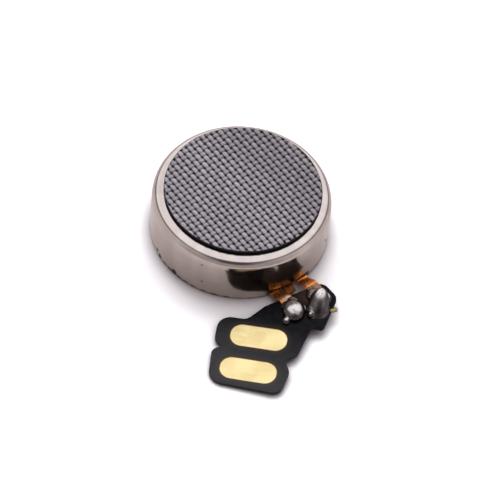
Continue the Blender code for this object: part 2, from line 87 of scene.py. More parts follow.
# ------------------------------------------------------------------ node helpers
class Paint:
    """A Principled material and short ways to drive it."""

    def __init__(self, name, colour, metallic=0.0, roughness=0.5, **sockets):
        self.made = bpy.data.materials.new(name)
        self.made.use_nodes = True
        self.tree = self.made.node_tree
        self.shader = self.tree.nodes["Principled BSDF"]
        self.shader.inputs["Base Color"].default_value = (*colour, 1.0)
        self.shader.inputs["Metallic"].default_value = metallic
        self.shader.inputs["Roughness"].default_value = roughness
        for key, value in sockets.items():
            self.shader.inputs[key.replace("_", " ")].default_value = value
        self.made.diffuse_color = (*colour, 1.0)

    def node(self, kind, **settings):
        made = self.tree.nodes.new(kind)
        for key, value in settings.items():
            setattr(made, key, value)
        return made

    def link(self, out, into):
        self.tree.links.new(out, into)

    def place(self, scale=(1, 1, 1), turn=(0, 0, 0), move=(0, 0, 0)):
        """The object's own coordinates in millimetres, turned and stretched."""
        spot = self.node("ShaderNodeTexCoord")
        turned = self.node("ShaderNodeMapping")
        turned.inputs["Rotation"].default_value = [math.radians(a) for a in turn]
        turned.inputs["Scale"].default_value = (1000, 1000, 1000)
        self.link(spot.outputs["Object"], turned.inputs["Vector"])
        out = self.node("ShaderNodeMapping")
        out.inputs["Location"].default_value = move
        out.inputs["Scale"].default_value = scale
        self.link(turned.outputs["Vector"], out.inputs["Vector"])
        return out.outputs["Vector"]

    def noise(self, vector, scale=1.0, detail=3.0, rough=0.55, distortion=0.0):
        made = self.node("ShaderNodeTexNoise")
        made.inputs["Scale"].default_value = scale
        made.inputs["Detail"].default_value = detail
        made.inputs["Roughness"].default_value = rough
        made.inputs["Distortion"].default_value = distortion
        self.link(vector, made.inputs["Vector"])
        return made.outputs["Fac"]

    def cells(self, vector, scale=1.0, feature="F1"):
        made = self.node("ShaderNodeTexVoronoi", feature=feature)
        made.inputs["Scale"].default_value = scale
        self.link(vector, made.inputs["Vector"])
        return made.outputs["Distance"]

    def spread(self, value, low, high, to_low=0.0, to_high=1.0, smooth=True):
        made = self.node("ShaderNodeMapRange", clamp=True)
        made.interpolation_type = "SMOOTHSTEP" if smooth else "LINEAR"
        for key, number in (("From Min", low), ("From Max", high), ("To Min", to_low), ("To Max", to_high)):
            made.inputs[key].default_value = number
        self.link(value, made.inputs["Value"])
        return made.outputs["Result"]

    def maths(self, kind, a, b=None, c=None):
        made = self.node("ShaderNodeMath", operation=kind)
        for socket, value in zip(made.inputs, (a, b, c)):
            if value is None:
                continue
            if isinstance(value, (int, float)):
                socket.default_value = value
            else:
                self.link(value, socket)
        return made.outputs[0]

    def mix(self, share, a, b, blend="MIX"):
        made = self.node("ShaderNodeMix", data_type="RGBA", blend_type=blend)
        for socket, value in ((made.inputs["Factor"], share), (made.inputs["A"], a), (made.inputs["B"], b)):
            pass
        colour_a = [s for s in made.inputs if s.name == "A" and s.type == "RGBA"][0]
        colour_b = [s for s in made.inputs if s.name == "B" and s.type == "RGBA"][0]
        factor = [s for s in made.inputs if s.name == "Factor" and s.type == "VALUE"][0]
        for socket, value in ((factor, share), (colour_a, a), (colour_b, b)):
            if isinstance(value, tuple):
                socket.default_value = (*value, 1.0)
            elif isinstance(value, (int, float)):
                socket.default_value = value
            else:
                self.link(value, socket)
        return [s for s in made.outputs if s.type == "RGBA"][0]

    def colour(self, out):
        self.link(out, self.shader.inputs["Base Color"])

    def rough(self, out):
        self.link(out, self.shader.inputs["Roughness"])

    def bump(self, height, strength=0.5, distance_mm=0.01, below=None):
        made = self.node("ShaderNodeBump")
        made.inputs["Strength"].default_value = strength
        made.inputs["Distance"].default_value = distance_mm * 0.001
        self.link(height, made.inputs["Height"])
        if below is not None:
            self.link(below, made.inputs["Normal"])
        return made.outputs["Normal"]

    def normal(self, out):
        self.link(out, self.shader.inputs["Normal"])


def shade_pair(paint, share, dark, light):
    paint.colour(paint.mix(share, dark, light))


def scaled(colour, by):
    return tuple(min(1.0, c * by) for c in colour)


# ------------------------------------------------------------------ finishes
def marks_mask(paint, marks):
    """1 at each small dark mark on the can's wall, else 0. A mark is (azimuth, height, radius)."""
    spot = paint.place()
    wobble = paint.node("ShaderNodeTexNoise")
    wobble.inputs["Scale"].default_value = 9.0
    wobble.inputs["Detail"].default_value = 3.0
    paint.link(spot, wobble.inputs["Vector"])
    total = None
    for azimuth, height, radius, stretch in marks:
        a = math.radians(azimuth)
        centre = Vector((5.0 * math.cos(a), 5.0 * math.sin(a), height))
        away = paint.node("ShaderNodeVectorMath", operation="SUBTRACT")
        paint.link(spot, away.inputs[0])
        away.inputs[1].default_value = centre
        squeeze = paint.node("ShaderNodeVectorMath", operation="MULTIPLY")
        paint.link(away.outputs[0], squeeze.inputs[0])
        squeeze.inputs[1].default_value = (1.0, 1.0, stretch)
        far = paint.node("ShaderNodeVectorMath", operation="LENGTH")
        paint.link(squeeze.outputs[0], far.inputs[0])
        ragged = paint.maths("MULTIPLY_ADD", wobble.outputs["Fac"], radius * 1.4, far.outputs["Value"])
        mask = paint.spread(ragged, radius * 1.45, radius * 2.0, 1.0, 0.0)
        total = mask if total is None else paint.maths("MAXIMUM", total, mask)
    return total


def wall_reflection_mask(paint, spot, azimuth, height):
    """1 in a cloudy patch of the wall about this place, fading to 0; the mask of a painted dark reflection."""
    a = math.radians(azimuth)
    away = paint.node("ShaderNodeVectorMath", operation="SUBTRACT")
    paint.link(spot, away.inputs[0])
    away.inputs[1].default_value = (5.0 * math.cos(a), 5.0 * math.sin(a), height)
    squeeze = paint.node("ShaderNodeVectorMath", operation="MULTIPLY")
    paint.link(away.outputs[0], squeeze.inputs[0])
    squeeze.inputs[1].default_value = (1.0, 1.0, 1.15)
    far = paint.node("ShaderNodeVectorMath", operation="LENGTH")
    paint.link(squeeze.outputs[0], far.inputs[0])
    ragged = paint.maths("MULTIPLY_ADD", paint.noise(spot, 1.6, 3.0), 0.9, far.outputs["Value"])
    return paint.spread(ragged, 1.05, 2.55, 1.0, 0.0)


WALL_MARKS = [
    (209.0, 0.36, 0.12, 1.0),
    (213.0, 0.20, 0.13, 0.8),
    (219.0, 0.07, 0.17, 1.4),
    (224.0, 0.07, 0.16, 1.2),
    (228.5, 0.21, 0.21, 1.2),
    (232.5, 0.06, 0.18, 1.4),
    (238.0, 0.03, 0.22, 1.5),
    (244.0, 0.03, 0.20, 1.5),
    (251.0, 0.03, 0.19, 1.5),
    (259.0, 0.02, 0.22, 1.6),
    (267.0, 0.03, 0.19, 1.6),
    (248.7, 2.33, 0.055, 1.0),
    (249.8, 0.89, 0.060, 1.3),
    (349.0, 0.90, 0.080, 0.8),
    (346.0, 1.25, 0.060, 0.7),
    (20.0, 0.06, 0.18, 1.6),
    (64.0, 0.05, 0.17, 1.6),
    (110.0, 0.06, 0.19, 1.6),
    (156.0, 0.05, 0.17, 1.6),
    (190.0, 0.06, 0.18, 1.6),
    (83.0, 1.55, 0.06, 1.2),
    (131.0, 1.05, 0.05, 1.0),
    (170.0, 1.80, 0.05, 1.0),
]


def nickel_finish(name, tone=(0.63, 0.570, 0.520), marks=False, rough=0.13):
    paint = Paint(name, tone, 1.0, rough)
    spot = paint.place()
    parts = paint.node("ShaderNodeSeparateXYZ")
    paint.link(spot, parts.inputs[0])
    turn = paint.maths("ARCTAN2", parts.outputs["Y"], parts.outputs["X"])
    # the drawing marks run up the wall: noise over the turn, nearly constant over the height
    lines = paint.node("ShaderNodeCombineXYZ")
    paint.link(paint.maths("COSINE", turn), lines.inputs[0])
    paint.link(paint.maths("SINE", turn), lines.inputs[1])
    paint.link(paint.maths("MULTIPLY", parts.outputs["Z"], 0.035), lines.inputs[2])
    broad = paint.noise(lines.outputs[0], 5.0, 2.0, 0.5)
    fine = paint.noise(lines.outputs[0], 70.0, 3.0, 0.6)
    cloud = paint.noise(spot, 0.9, 4.0, 0.6)
    grain = paint.noise(spot, 26.0, 3.0, 0.65)
    share = paint.maths("ADD", paint.maths("MULTIPLY", broad, 0.55), paint.maths("MULTIPLY", cloud, 0.45))
    body = paint.mix(
        paint.spread(share, 0.36, 0.64),
        (tone[0] * 0.93, tone[1] * 0.90, tone[2] * 0.93),
        (min(1, tone[0] * 1.05), min(1, tone[1] * 1.07), min(1, tone[2] * 1.05)),
    )
    # pin-point pits in the plating
    pits = paint.spread(paint.cells(spot, 2.1), 0.035, 0.075, 1.0, 0.0)
    patch = paint.spread(paint.noise(spot, 1.7, 2.0), 0.50, 0.62)
    pits = paint.maths("MULTIPLY", pits, patch)
    body = paint.mix(paint.maths("MULTIPLY", pits, 0.5), body, (0.16, 0.13, 0.11))
    rough_out = paint.maths(
        "ADD",
        paint.spread(cloud, 0.3, 0.7, rough - 0.03, rough + 0.04),
        paint.maths("MULTIPLY", fine, 0.03),
    )
    if marks:
        dark = marks_mask(paint, WALL_MARKS)
        body = paint.mix(paint.maths("MULTIPLY", dark, 0.95), body, (0.045, 0.032, 0.032))
        # painted shade: the wall is darker along its lower edge, where it mirrors the shadowed floor at its foot
        edge = paint.spread(
            paint.maths("MULTIPLY_ADD", paint.noise(spot, 3.2, 3.0), 0.30, parts.outputs["Z"]), 0.17, 0.36, 1.0, 0.0
        )
        body = paint.mix(paint.maths("MULTIPLY", edge, 0.62), body, (0.17, 0.135, 0.13))
        rough_out = paint.maths("ADD", rough_out, paint.maths("MULTIPLY", paint.maths("MAXIMUM", dark, edge), 0.32))
        # painted reflection: a dark brownish patch on the wall where the leads come out, standing in for the dark
        # things the wall mirrors there
        painted_dark_reflection = wall_reflection_mask(paint, spot, 306.0, 1.05)
        body = paint.mix(paint.maths("MULTIPLY", painted_dark_reflection, 0.50), body, (0.17, 0.125, 0.10))
        rough_out = paint.maths("ADD", rough_out, paint.maths("MULTIPLY", painted_dark_reflection, 0.10))
        # painted shade: the rim is darker on its left, where it mirrors darker surroundings
        dimmed = paint.maths("MULTIPLY", paint.spread(parts.outputs["X"], -4.9, -3.6, 1.0, 0.0), paint.spread(parts.outputs["Z"], 3.0, 3.1))
        body = paint.mix(paint.maths("MULTIPLY", dimmed, 0.66), body, (0.26, 0.23, 0.215))
    paint.colour(body)
    paint.rough(rough_out)
    height = paint.maths("ADD", paint.maths("MULTIPLY", fine, 0.35), paint.maths("MULTIPLY", grain, 0.5))
    low = paint.bump(height, 0.20, 0.004)
    if marks:
        low = paint.bump(paint.maths("SUBTRACT", 1.0, dark), 0.6, 0.02, low)
    paint.normal(low)
    return paint.made


def yarn_finish(name, along, tone, dark, low, high):
    """Fine filaments along the yarn, with painted shade down between the yarns and at the cut ends."""
    paint = Paint(name, tone, 0.0, 0.62, Sheen_Weight=0.25, Sheen_Roughness=0.45)
    spot = paint.place()
    parts = paint.node("ShaderNodeSeparateXYZ")
    paint.link(spot, parts.inputs[0])
    # painted shade: the yarn's colour darkens with depth, down between the yarns
    depth = paint.spread(parts.outputs["Z"], low, high)
    # painted shade at the cut ends: the yarn darkens close to the pad's edge
    from_x = paint.maths("SUBTRACT", parts.outputs["X"], PAD_CENTRE[0])
    from_y = paint.maths("DIVIDE", paint.maths("SUBTRACT", parts.outputs["Y"], PAD_CENTRE[1]), PAD_SHRINK)
    far = paint.maths("SQRT", paint.maths("ADD", paint.maths("MULTIPLY", from_x, from_x), paint.maths("MULTIPLY", from_y, from_y)))
    depth = paint.maths("MULTIPLY", depth, paint.spread(far, PAD_RADIUS - 0.045, PAD_RADIUS - 0.005, 1.0, 0.0))
    filaments = paint.noise(paint.place((1.1, 46.0, 20.0), (0, 0, -along)), 1.0, 2.0, 0.6, 0.2)
    slub = paint.noise(paint.place((0.45, 2.9, 0.5), (0, 0, -along)), 1.0, 2.0)
    patch = paint.noise(spot, 0.55, 3.0)
    light = paint.mix(
        paint.spread(filaments, 0.34, 0.66),
        scaled(tone, 0.72),
        scaled(tone, 1.22),
    )
    tinted = paint.mix(paint.spread(paint.maths("ADD", slub, patch), 0.8, 1.2, 0.0, 0.32), light, scaled(tone, 0.66))
    # the pad is made a little darker towards the back and the right
    back_right_darkening = paint.maths("ADD", paint.maths("MULTIPLY", parts.outputs["X"], 0.8), paint.maths("MULTIPLY", parts.outputs["Y"], 0.9))
    tinted = paint.mix(paint.spread(back_right_darkening, 0.2, 3.6, 0.0, 0.34), tinted, scaled(tone, 0.32))
    paint.colour(paint.mix(depth, dark, tinted))
    paint.rough(paint.spread(filaments, 0.3, 0.7, 0.52, 0.78))
    paint.normal(paint.bump(filaments, 0.55, 0.012))
    return paint.made


def film_finish(name, tone, rough=0.36, wave=0.5, windows_at=()):
    """Black cover film: satin, slightly uneven over the copper below, with dust and fine scuffs."""
    paint = Paint(name, tone, 0.0, rough, Specular_IOR_Level=0.40)
    spot = paint.place()
    swell = paint.noise(spot, 0.75, 2.0, 0.5)
    leather = paint.noise(spot, 11.0, 3.0, 0.6)
    dust = paint.spread(paint.cells(spot, 3.4), 0.03, 0.07, 1.0, 0.0)
    patch = paint.noise(spot, 2.2, 3.0, 0.6)
    base = paint.mix(paint.spread(patch, 0.35, 0.68), scaled(tone, 0.7), scaled(tone, 1.75))
    if windows_at:
        # painted edge shading: the black film is tinted warm brown close to each gold window
        painted_edge_tone = None
        for x, y in windows_at:
            away = paint.node("ShaderNodeVectorMath", operation="SUBTRACT")
            paint.link(spot, away.inputs[0])
            away.inputs[1].default_value = (x, y, 0)
            turned = paint.node("ShaderNodeMapping")
            turned.inputs["Rotation"].default_value = (0, 0, math.radians(5.0))
            paint.link(away.outputs[0], turned.inputs["Vector"])
            parts = paint.node("ShaderNodeSeparateXYZ")
            paint.link(turned.outputs["Vector"], parts.inputs[0])
            over = [
                paint.maths("MAXIMUM", paint.maths("SUBTRACT", paint.maths("ABSOLUTE", parts.outputs[k]), hold), 0.0)
                for k, hold in (("X", 0.92), ("Y", 0.05))
            ]
            far = paint.maths(
                "SQRT", paint.maths("ADD", paint.maths("MULTIPLY", over[0], over[0]), paint.maths("MULTIPLY", over[1], over[1]))
            )
            near = paint.spread(far, 0.70, 1.02, 1.0, 0.0)
            painted_edge_tone = near if painted_edge_tone is None else paint.maths("MAXIMUM", painted_edge_tone, near)
        base = paint.mix(paint.maths("MULTIPLY", painted_edge_tone, 0.8), base, (0.030, 0.016, 0.008))
        place = paint.node("ShaderNodeSeparateXYZ")
        paint.link(spot, place.inputs[0])
        # painted reflection: the film is tinted warm brown round the solder joint, where it mirrors the amber leads
        from_joint = paint.node("ShaderNodeVectorMath", operation="DISTANCE")
        paint.link(spot, from_joint.inputs[0])
        from_joint.inputs[1].default_value = tuple(DRAWING @ Vector((2.10, 3.30, 0.0)))
        ragged = paint.maths("MULTIPLY_ADD", patch, 0.7, from_joint.outputs["Value"])
        tint = paint.spread(ragged, 0.55, 1.25, 0.85, 0.0)
        base = paint.mix(tint, base, (0.060, 0.036, 0.022))
        # painted shade in the gloss: the film's specular level falls towards the can, which shades what the film
        # mirrors there
        rise = paint.maths("MULTIPLY_ADD", place.outputs["X"], 0.35, paint.maths("MULTIPLY_ADD", patch, 0.8, place.outputs["Y"]))
        paint.link(paint.spread(rise, -9.2, -5.3, 0.42, 0.05, False), paint.shader.inputs["Specular IOR Level"])
    paint.colour(paint.mix(paint.maths("MULTIPLY", dust, 0.20), base, (0.10, 0.095, 0.10)))
    paint.rough(
        paint.maths("ADD", paint.spread(leather, 0.3, 0.7, rough - 0.06, rough + 0.08), paint.maths("MULTIPLY", dust, 0.2))
    )
    low = paint.bump(swell, 0.6 * wave, 0.10)
    paint.normal(paint.bump(leather, 0.25, 0.006, low))
    return paint.made


def gold_finish(name, tone=(0.90, 0.755, 0.385), rough=0.34):
    paint = Paint(name, tone, 1.0, rough)
    spot = paint.place()
    cloud = paint.noise(spot, 0.8, 3.0, 0.55)
    grain = paint.noise(spot, 24.0, 3.0, 0.6)
    streak = paint.noise(paint.place((0.5, 9.0, 4.0), (0, 0, 7)), 1.0, 2.0)
    body = paint.mix(paint.spread(cloud, 0.36, 0.66), (tone[0] * 0.93, tone[1] * 0.91, tone[2] * 0.84), scaled(tone, 1.06))
    probe = paint.spread(paint.cells(spot, 1.6), 0.04, 0.08, 1.0, 0.0)
    body = paint.mix(paint.maths("MULTIPLY", probe, 0.22), body, scaled(tone, 0.62))
    paint.colour(body)
    paint.rough(
        paint.maths("ADD", paint.spread(streak, 0.3, 0.7, rough - 0.05, rough + 0.05), paint.maths("MULTIPLY", grain, 0.06))
    )
    paint.normal(paint.bump(grain, 0.22, 0.004, paint.bump(cloud, 0.35, 0.03)))
    return paint.made


def solder_finish(name):
    paint = Paint(name, (0.62, 0.60, 0.585), 1.0, 0.16)
    spot = paint.place()
    cloud = paint.noise(spot, 2.6, 4.0, 0.6)
    grain = paint.noise(spot, 18.0, 4.0, 0.65)
    pits = paint.spread(paint.cells(spot, 4.6), 0.05, 0.10, 1.0, 0.0)
    oxide = paint.spread(cloud, 0.41, 0.63)
    body = paint.mix(oxide, (0.69, 0.66, 0.615), (0.33, 0.305, 0.29))
    parts = paint.node("ShaderNodeSeparateXYZ")
    paint.link(spot, parts.inputs[0])
    facing = paint.node("ShaderNodeSeparateXYZ")
    paint.link(paint.node("ShaderNodeTexCoord").outputs["Normal"], facing.inputs[0])
    # painted dark reflection: the steep sides are darkened by the way they face, standing in for the dark surroundings
    # they mirror
    side = paint.spread(paint.maths("MULTIPLY_ADD", cloud, 0.25, facing.outputs["Z"]), 0.89, 1.10, 1.0, 0.0)
    body = paint.mix(paint.maths("MULTIPLY", side, 0.90), body, (0.060, 0.052, 0.058))
    skirt = paint.spread(
        paint.maths("MULTIPLY_ADD", cloud, 0.35, parts.outputs["Z"]), 0.72, 0.98, 1.0, 0.0
    )
    body = paint.mix(paint.maths("MULTIPLY", skirt, 0.55), body, (0.15, 0.12, 0.10))
    body = paint.mix(paint.maths("MULTIPLY", pits, 0.6), body, (0.10, 0.09, 0.08))
    paint.colour(body)
    paint.rough(
        paint.maths("ADD", paint.spread(cloud, 0.35, 0.7, 0.10, 0.26), paint.maths("MULTIPLY", skirt, 0.14))
    )
    paint.normal(paint.bump(grain, 0.25, 0.008, paint.bump(cloud, 0.35, 0.05)))
    return paint.made


def plain_finish(name, tone, metallic, rough, scale=2.0, grain_scale=20.0, contrast=0.22, relief=0.006, turn=0.0, stretch=(1, 1, 1), **sockets):
    """A base colour that varies in soft clouds, with grain in the gloss and the relief."""
    paint = Paint(name, tone, metallic, rough, **sockets)
    spot = paint.place(stretch, (0, 0, turn))
    cloud = paint.noise(spot, scale, 4.0, 0.6)
    grain = paint.noise(spot, grain_scale, 3.0, 0.6)
    paint.colour(paint.mix(paint.spread(cloud, 0.34, 0.66), scaled(tone, 1 - contrast), scaled(tone, 1 + contrast)))
    paint.rough(paint.spread(grain, 0.3, 0.7, max(0.03, rough - 0.07), min(1.0, rough + 0.08)))
    paint.normal(paint.bump(grain, 0.35, relief))
    return paint.made


def turned_finish(name, tone, rough, rings=26.0):
    """Metal with fine turning rings about the motor's axis."""
    paint = Paint(name, tone, 1.0, rough)
    spot = paint.place()
    parts = paint.node("ShaderNodeSeparateXYZ")
    paint.link(spot, parts.inputs[0])
    far = paint.maths(
        "SQRT",
        paint.maths("ADD", paint.maths("MULTIPLY", parts.outputs["X"], parts.outputs["X"]), paint.maths("MULTIPLY", parts.outputs["Y"], parts.outputs["Y"])),
    )
    lines = paint.node("ShaderNodeCombineXYZ")
    paint.link(far, lines.inputs[0])
    paint.link(paint.maths("MULTIPLY", parts.outputs["Z"], 1.0), lines.inputs[1])
    fine = paint.noise(lines.outputs[0], rings, 3.0, 0.6)
    cloud = paint.noise(spot, 1.4, 3.0)
    paint.colour(paint.mix(paint.spread(cloud, 0.34, 0.66), scaled(tone, 0.88), scaled(tone, 1.1)))
    paint.rough(paint.spread(fine, 0.3, 0.7, rough - 0.06, rough + 0.08))
    paint.normal(paint.bump(fine, 0.3, 0.004))
    return paint.made


def winding_finish(name):
    """Enamelled wire laid side by side."""
    paint = Paint(name, (0.55, 0.20, 0.07), 0.75, 0.32)
    spot = paint.place()
    cloud = paint.noise(spot, 1.5, 2.0)
    wire = paint.node("ShaderNodeTexWave", wave_type="BANDS", bands_direction="Z", wave_profile="SIN")
    wire.inputs["Scale"].default_value = 4.2
    wire.inputs["Distortion"].default_value = 0.5
    wire.inputs["Detail"].default_value = 1.0
    paint.link(spot, wire.inputs["Vector"])
    # painted shade: the bands that give the turns their relief also darken the colour in the grooves between them
    paint.colour(paint.mix(wire.outputs["Fac"], (0.26, 0.08, 0.03), (0.66, 0.27, 0.10)))
    paint.rough(paint.spread(cloud, 0.3, 0.7, 0.26, 0.42))
    paint.normal(paint.bump(wire.outputs["Fac"], 0.7, 0.02))
    return paint.made


def lead_finish(name, tone, rough=0.28):
    """Amber film over copper; the tinning where it meets the solder is a piece of its own."""
    paint = Paint(name, tone, 0.8, rough)
    spot = paint.place()
    cloud = paint.noise(spot, 2.4, 3.0)
    ripple = paint.noise(paint.place((1.0, 7.0, 1.0), (0, 0, 51)), 1.2, 3.0)
    paint.colour(paint.mix(paint.spread(cloud, 0.34, 0.66), scaled(tone, 0.74), scaled(tone, 1.30)))
    paint.rough(paint.spread(ripple, 0.3, 0.7, rough - 0.08, rough + 0.10))
    paint.normal(paint.bump(ripple, 0.4, 0.02))
    return paint.made


CAN = nickel_finish("nickel_can", marks=True)
NICKEL = nickel_finish("nickel_plate", rough=0.22)
WARP = yarn_finish("yarn_long", 130.5, (0.46, 0.43, 0.46), (0.050, 0.044, 0.050), 3.218, 3.276)
WEFT = yarn_finish("yarn_cross", 40.5, (0.40, 0.372, 0.402), (0.040, 0.035, 0.040), 3.244, 3.288)
BACKING = plain_finish("pad_backing_foam", (0.010, 0.009, 0.010), 0.0, 0.8, 3.0, 30.0, 0.4, 0.01)
ADHESIVE = plain_finish("dark_adhesive_film", (0.012, 0.011, 0.011), 0.0, 0.45, 2.0, 16.0, 0.3, 0.006)
COVER = film_finish("black_cover_film_satin", (0.0058, 0.0056, 0.0074), 0.30, windows_at=((1.739, -7.779), (1.345, -10.011)))
BOARD = film_finish("black_board_core", (0.008, 0.007, 0.007), 0.5, 0.2)
GOLD = gold_finish("gold_contact")
# painted shade: a thin brown ring on the edge of each gold window stands in for the shade along that edge
WINDOW_SHADE_FINISH = plain_finish("window_edge_shade", (0.10, 0.065, 0.018), 0.0, 0.3, 3.0, 24.0, 0.35, 0.004, Coat_Weight=0.4)
SOLDER = solder_finish("bright_solder")
LEAD = lead_finish("amber_lead", (0.95, 0.275, 0.075))
TRACE = lead_finish("copper_trace", (0.82, 0.29, 0.050), 0.25)
TINNED = plain_finish("tinned_copper", (0.76, 0.47, 0.31), 1.0, 0.30, 4.0, 24.0, 0.35, 0.006)
# painted shade: a darkened copy of the tinned copper, for the tinned end of lead b
SHADED_TINNED = plain_finish("shaded_tinned_copper", (0.22, 0.14, 0.10), 1.0, 0.32, 4.0, 24.0, 0.45, 0.008)
LAND = plain_finish("solder_wetted_land", (0.16, 0.15, 0.15), 1.0, 0.30, 4.0, 24.0, 0.45, 0.008)
FLUX = plain_finish("flux_residue", (0.33, 0.30, 0.10), 0.0, 0.25, 5.0, 24.0, 0.3, 0.008, Coat_Weight=0.5)
AMBER = lead_finish("amber_film_base", (0.40, 0.14, 0.04), 0.32)

INNER = {
    "base_bracket": NICKEL,
    "shaft": turned_finish("ground_steel_pin", (0.60, 0.60, 0.61), 0.18, 40.0),
    "lower_thrust_washer": plain_finish("washer_polymer", (0.74, 0.72, 0.66), 0.0, 0.45, 3.0, 22.0, 0.10, 0.004),
    "upper_thrust_washer": plain_finish("washer_polymer_top", (0.76, 0.74, 0.68), 0.0, 0.45, 3.2, 22.0, 0.10, 0.004),
    "pad_adhesive": ADHESIVE,
    "internal_fpc": AMBER,
    "cogging_plate": turned_finish("cogging_sheet_steel", (0.42, 0.42, 0.43), 0.36, 12.0),
    "ring_magnet": plain_finish("nickel_plated_magnet", (0.46, 0.46, 0.47), 1.0, 0.30, 1.4, 26.0, 0.10, 0.005),
    "brush_positive": plain_finish("brush_spring_alloy", (0.80, 0.62, 0.32), 1.0, 0.22, 3.0, 26.0, 0.12, 0.003),
    "brush_negative": plain_finish("brush_spring_alloy_b", (0.80, 0.62, 0.32), 1.0, 0.22, 3.3, 26.0, 0.12, 0.003),
    "rotor_mould": plain_finish("moulded_black_resin", (0.030, 0.030, 0.034), 0.0, 0.45, 1.6, 20.0, 0.35, 0.010),
    "eccentric_weight": plain_finish("sintered_tungsten", (0.34, 0.34, 0.35), 1.0, 0.42, 2.4, 32.0, 0.18, 0.012),
    "coil_1": winding_finish("enamelled_wire_one"),
    "coil_2": winding_finish("enamelled_wire_two"),
    "commutator_board": plain_finish("green_laminate", (0.045, 0.16, 0.075), 0.0, 0.40, 2.2, 30.0, 0.25, 0.006, 0.0, (1, 1, 1), Coat_Weight=0.3),
    "bearing_bush": plain_finish("sintered_bronze_bush", (0.50, 0.34, 0.17), 1.0, 0.42, 5.0, 36.0, 0.22, 0.014),
    "solder_land_a": LAND,
    "solder_land_b": LAND,
}
SEGMENT = gold_finish("commutator_gold", (0.85, 0.66, 0.33), 0.22)
for number in range(1, 7):
    INNER[f"commutator_segment_{number}"] = SEGMENT


def dress(node, finish):
    mesh = frame["nodes"][node].data
    if not mesh.materials:
        mesh.materials.append(finish)
    for index in range(len(mesh.materials)):
        mesh.materials[index] = finish


for node, finish in INNER.items():
    dress(node, finish)


# ------------------------------------------------------------------ mesh helpers
def piece(name, mesh, finish, matrix=None, sharp=35.0):
    """Links a mesh that is in millimetres as a piece in metres."""
    mesh.transform(MM @ (matrix or Matrix.Identity(4)))
    mesh.update()
    obj = bpy.data.objects.new(name, mesh)
    scene.collection.objects.link(obj)
    for one in finish if isinstance(finish, (list, tuple)) else [finish]:
        mesh.materials.append(one)
    mesh.shade_smooth()
    mesh.set_sharp_from_angle(angle=math.radians(sharp))
    return obj


def mesh_of(name, points, faces):
    mesh = bpy.data.meshes.new(name)
    mesh.from_pydata([tuple(p) for p in points], [], faces)
    mesh.validate()
    return mesh


def arc(radius, start, end, count, centre=(0.0, 0.0)):
    angles = [math.radians(start + (end - start) * i / count) for i in range(count + 1)]
    return [(centre[0] + radius * math.cos(a), centre[1] + radius * math.sin(a)) for a in angles]


def filleted(corners, count=5):
    outline = []
    total = len(corners)
    for i, (x, y, radius) in enumerate(corners):
        here = Vector((x, y))
        before = Vector(corners[i - 1][:2]) - here
        after = Vector(corners[(i + 1) % total][:2]) - here
        if radius <= 0:
            outline.append((x, y))
            continue
        half = before.angle(after) / 2
        back = min(radius / math.tan(half), 0.49 * before.length, 0.49 * after.length)
        radius = back * math.tan(half)
        middle = here + (before.normalized() + after.normalized()).normalized() * (radius / math.sin(half))
        first = here + before.normalized() * back - middle
        last = here + after.normalized() * back - middle
        sweep = first.angle_signed(last)
        for k in range(count + 1):
            point = middle + Matrix.Rotation(-sweep * k / count, 2) @ first
            outline.append((point.x, point.y))
    return outline


def rounded_box(width, depth, radius, centre=(0.0, 0.0), grow=0.0, count=14):
    w, d = width / 2 + grow, depth / 2 + grow
    x, y = centre
    return filleted(
        [(x - w, y - d, radius + grow), (x + w, y - d, radius + grow), (x + w, y + d, radius + grow), (x - w, y + d, radius + grow)],
        count,
    )


def plate_mesh(name, loops, low, high, edge=0.0, edge_steps=3):
    """A flat outline with openings, from one height to another, its edges rounded by edge."""
    curve = bpy.data.curves.new(name, "CURVE")
    curve.dimensions = "2D"
    curve.fill_mode = "BOTH"
    curve.extrude = (high - low) / 2 - edge
    curve.bevel_depth = edge
    curve.offset = -edge
    curve.bevel_resolution = edge_steps if edge else 0
    for loop in loops:
        spline = curve.splines.new("POLY")
        spline.points.add(len(loop) - 1)
        for point, (x, y) in zip(spline.points, loop):
            point.co = (x, y, 0, 1)
        spline.use_cyclic_u = True
    holder = bpy.data.objects.new(name + "_outline", curve)
    scene.collection.objects.link(holder)
    bpy.context.view_layer.update()
    graph = bpy.context.evaluated_depsgraph_get()
    mesh = bpy.data.meshes.new_from_object(holder.evaluated_get(graph))
    bpy.data.objects.remove(holder, do_unlink=True)
    bpy.data.curves.remove(curve)
    mesh.name = name
    work = bmesh.new()
    work.from_mesh(mesh)
    bmesh.ops.remove_doubles(work, verts=work.verts, dist=2e-5)
    bmesh.ops.recalc_face_normals(work, faces=work.faces)
    bmesh.ops.translate(work, verts=work.verts, vec=(0, 0, (low + high) / 2))
    work.to_mesh(mesh)
    work.free()
    return mesh


def gridded(mesh, pitch, span, shape):
    """Cuts a flat mesh along a grid, so that shape(x, y) can lift its points by a little."""
    work = bmesh.new()
    work.from_mesh(mesh)
    (x0, x1), (y0, y1) = span
    for axis, start, end in ((Vector((1, 0, 0)), x0, x1), (Vector((0, 1, 0)), y0, y1)):
        steps = int((end - start) / pitch)
        for i in range(1, steps):
            at = axis * (start + i * pitch)
            bmesh.ops.bisect_plane(
                work, geom=work.verts[:] + work.edges[:] + work.faces[:], dist=1e-6, plane_co=at, plane_no=axis
            )
    for v in work.verts:
        v.co.z += shape(v.co.x, v.co.y)
    work.to_mesh(mesh)
    work.free()
    return mesh


# ------------------------------------------------------------------ the can
CAN_R, CAN_H, CAN_WALL, SHOULDER = 5.0, 3.05, 0.20, 0.45
SLOT_AZIMUTH, SLOT_HALF, SLOT_TOP = -51.0, 1.43, 0.50


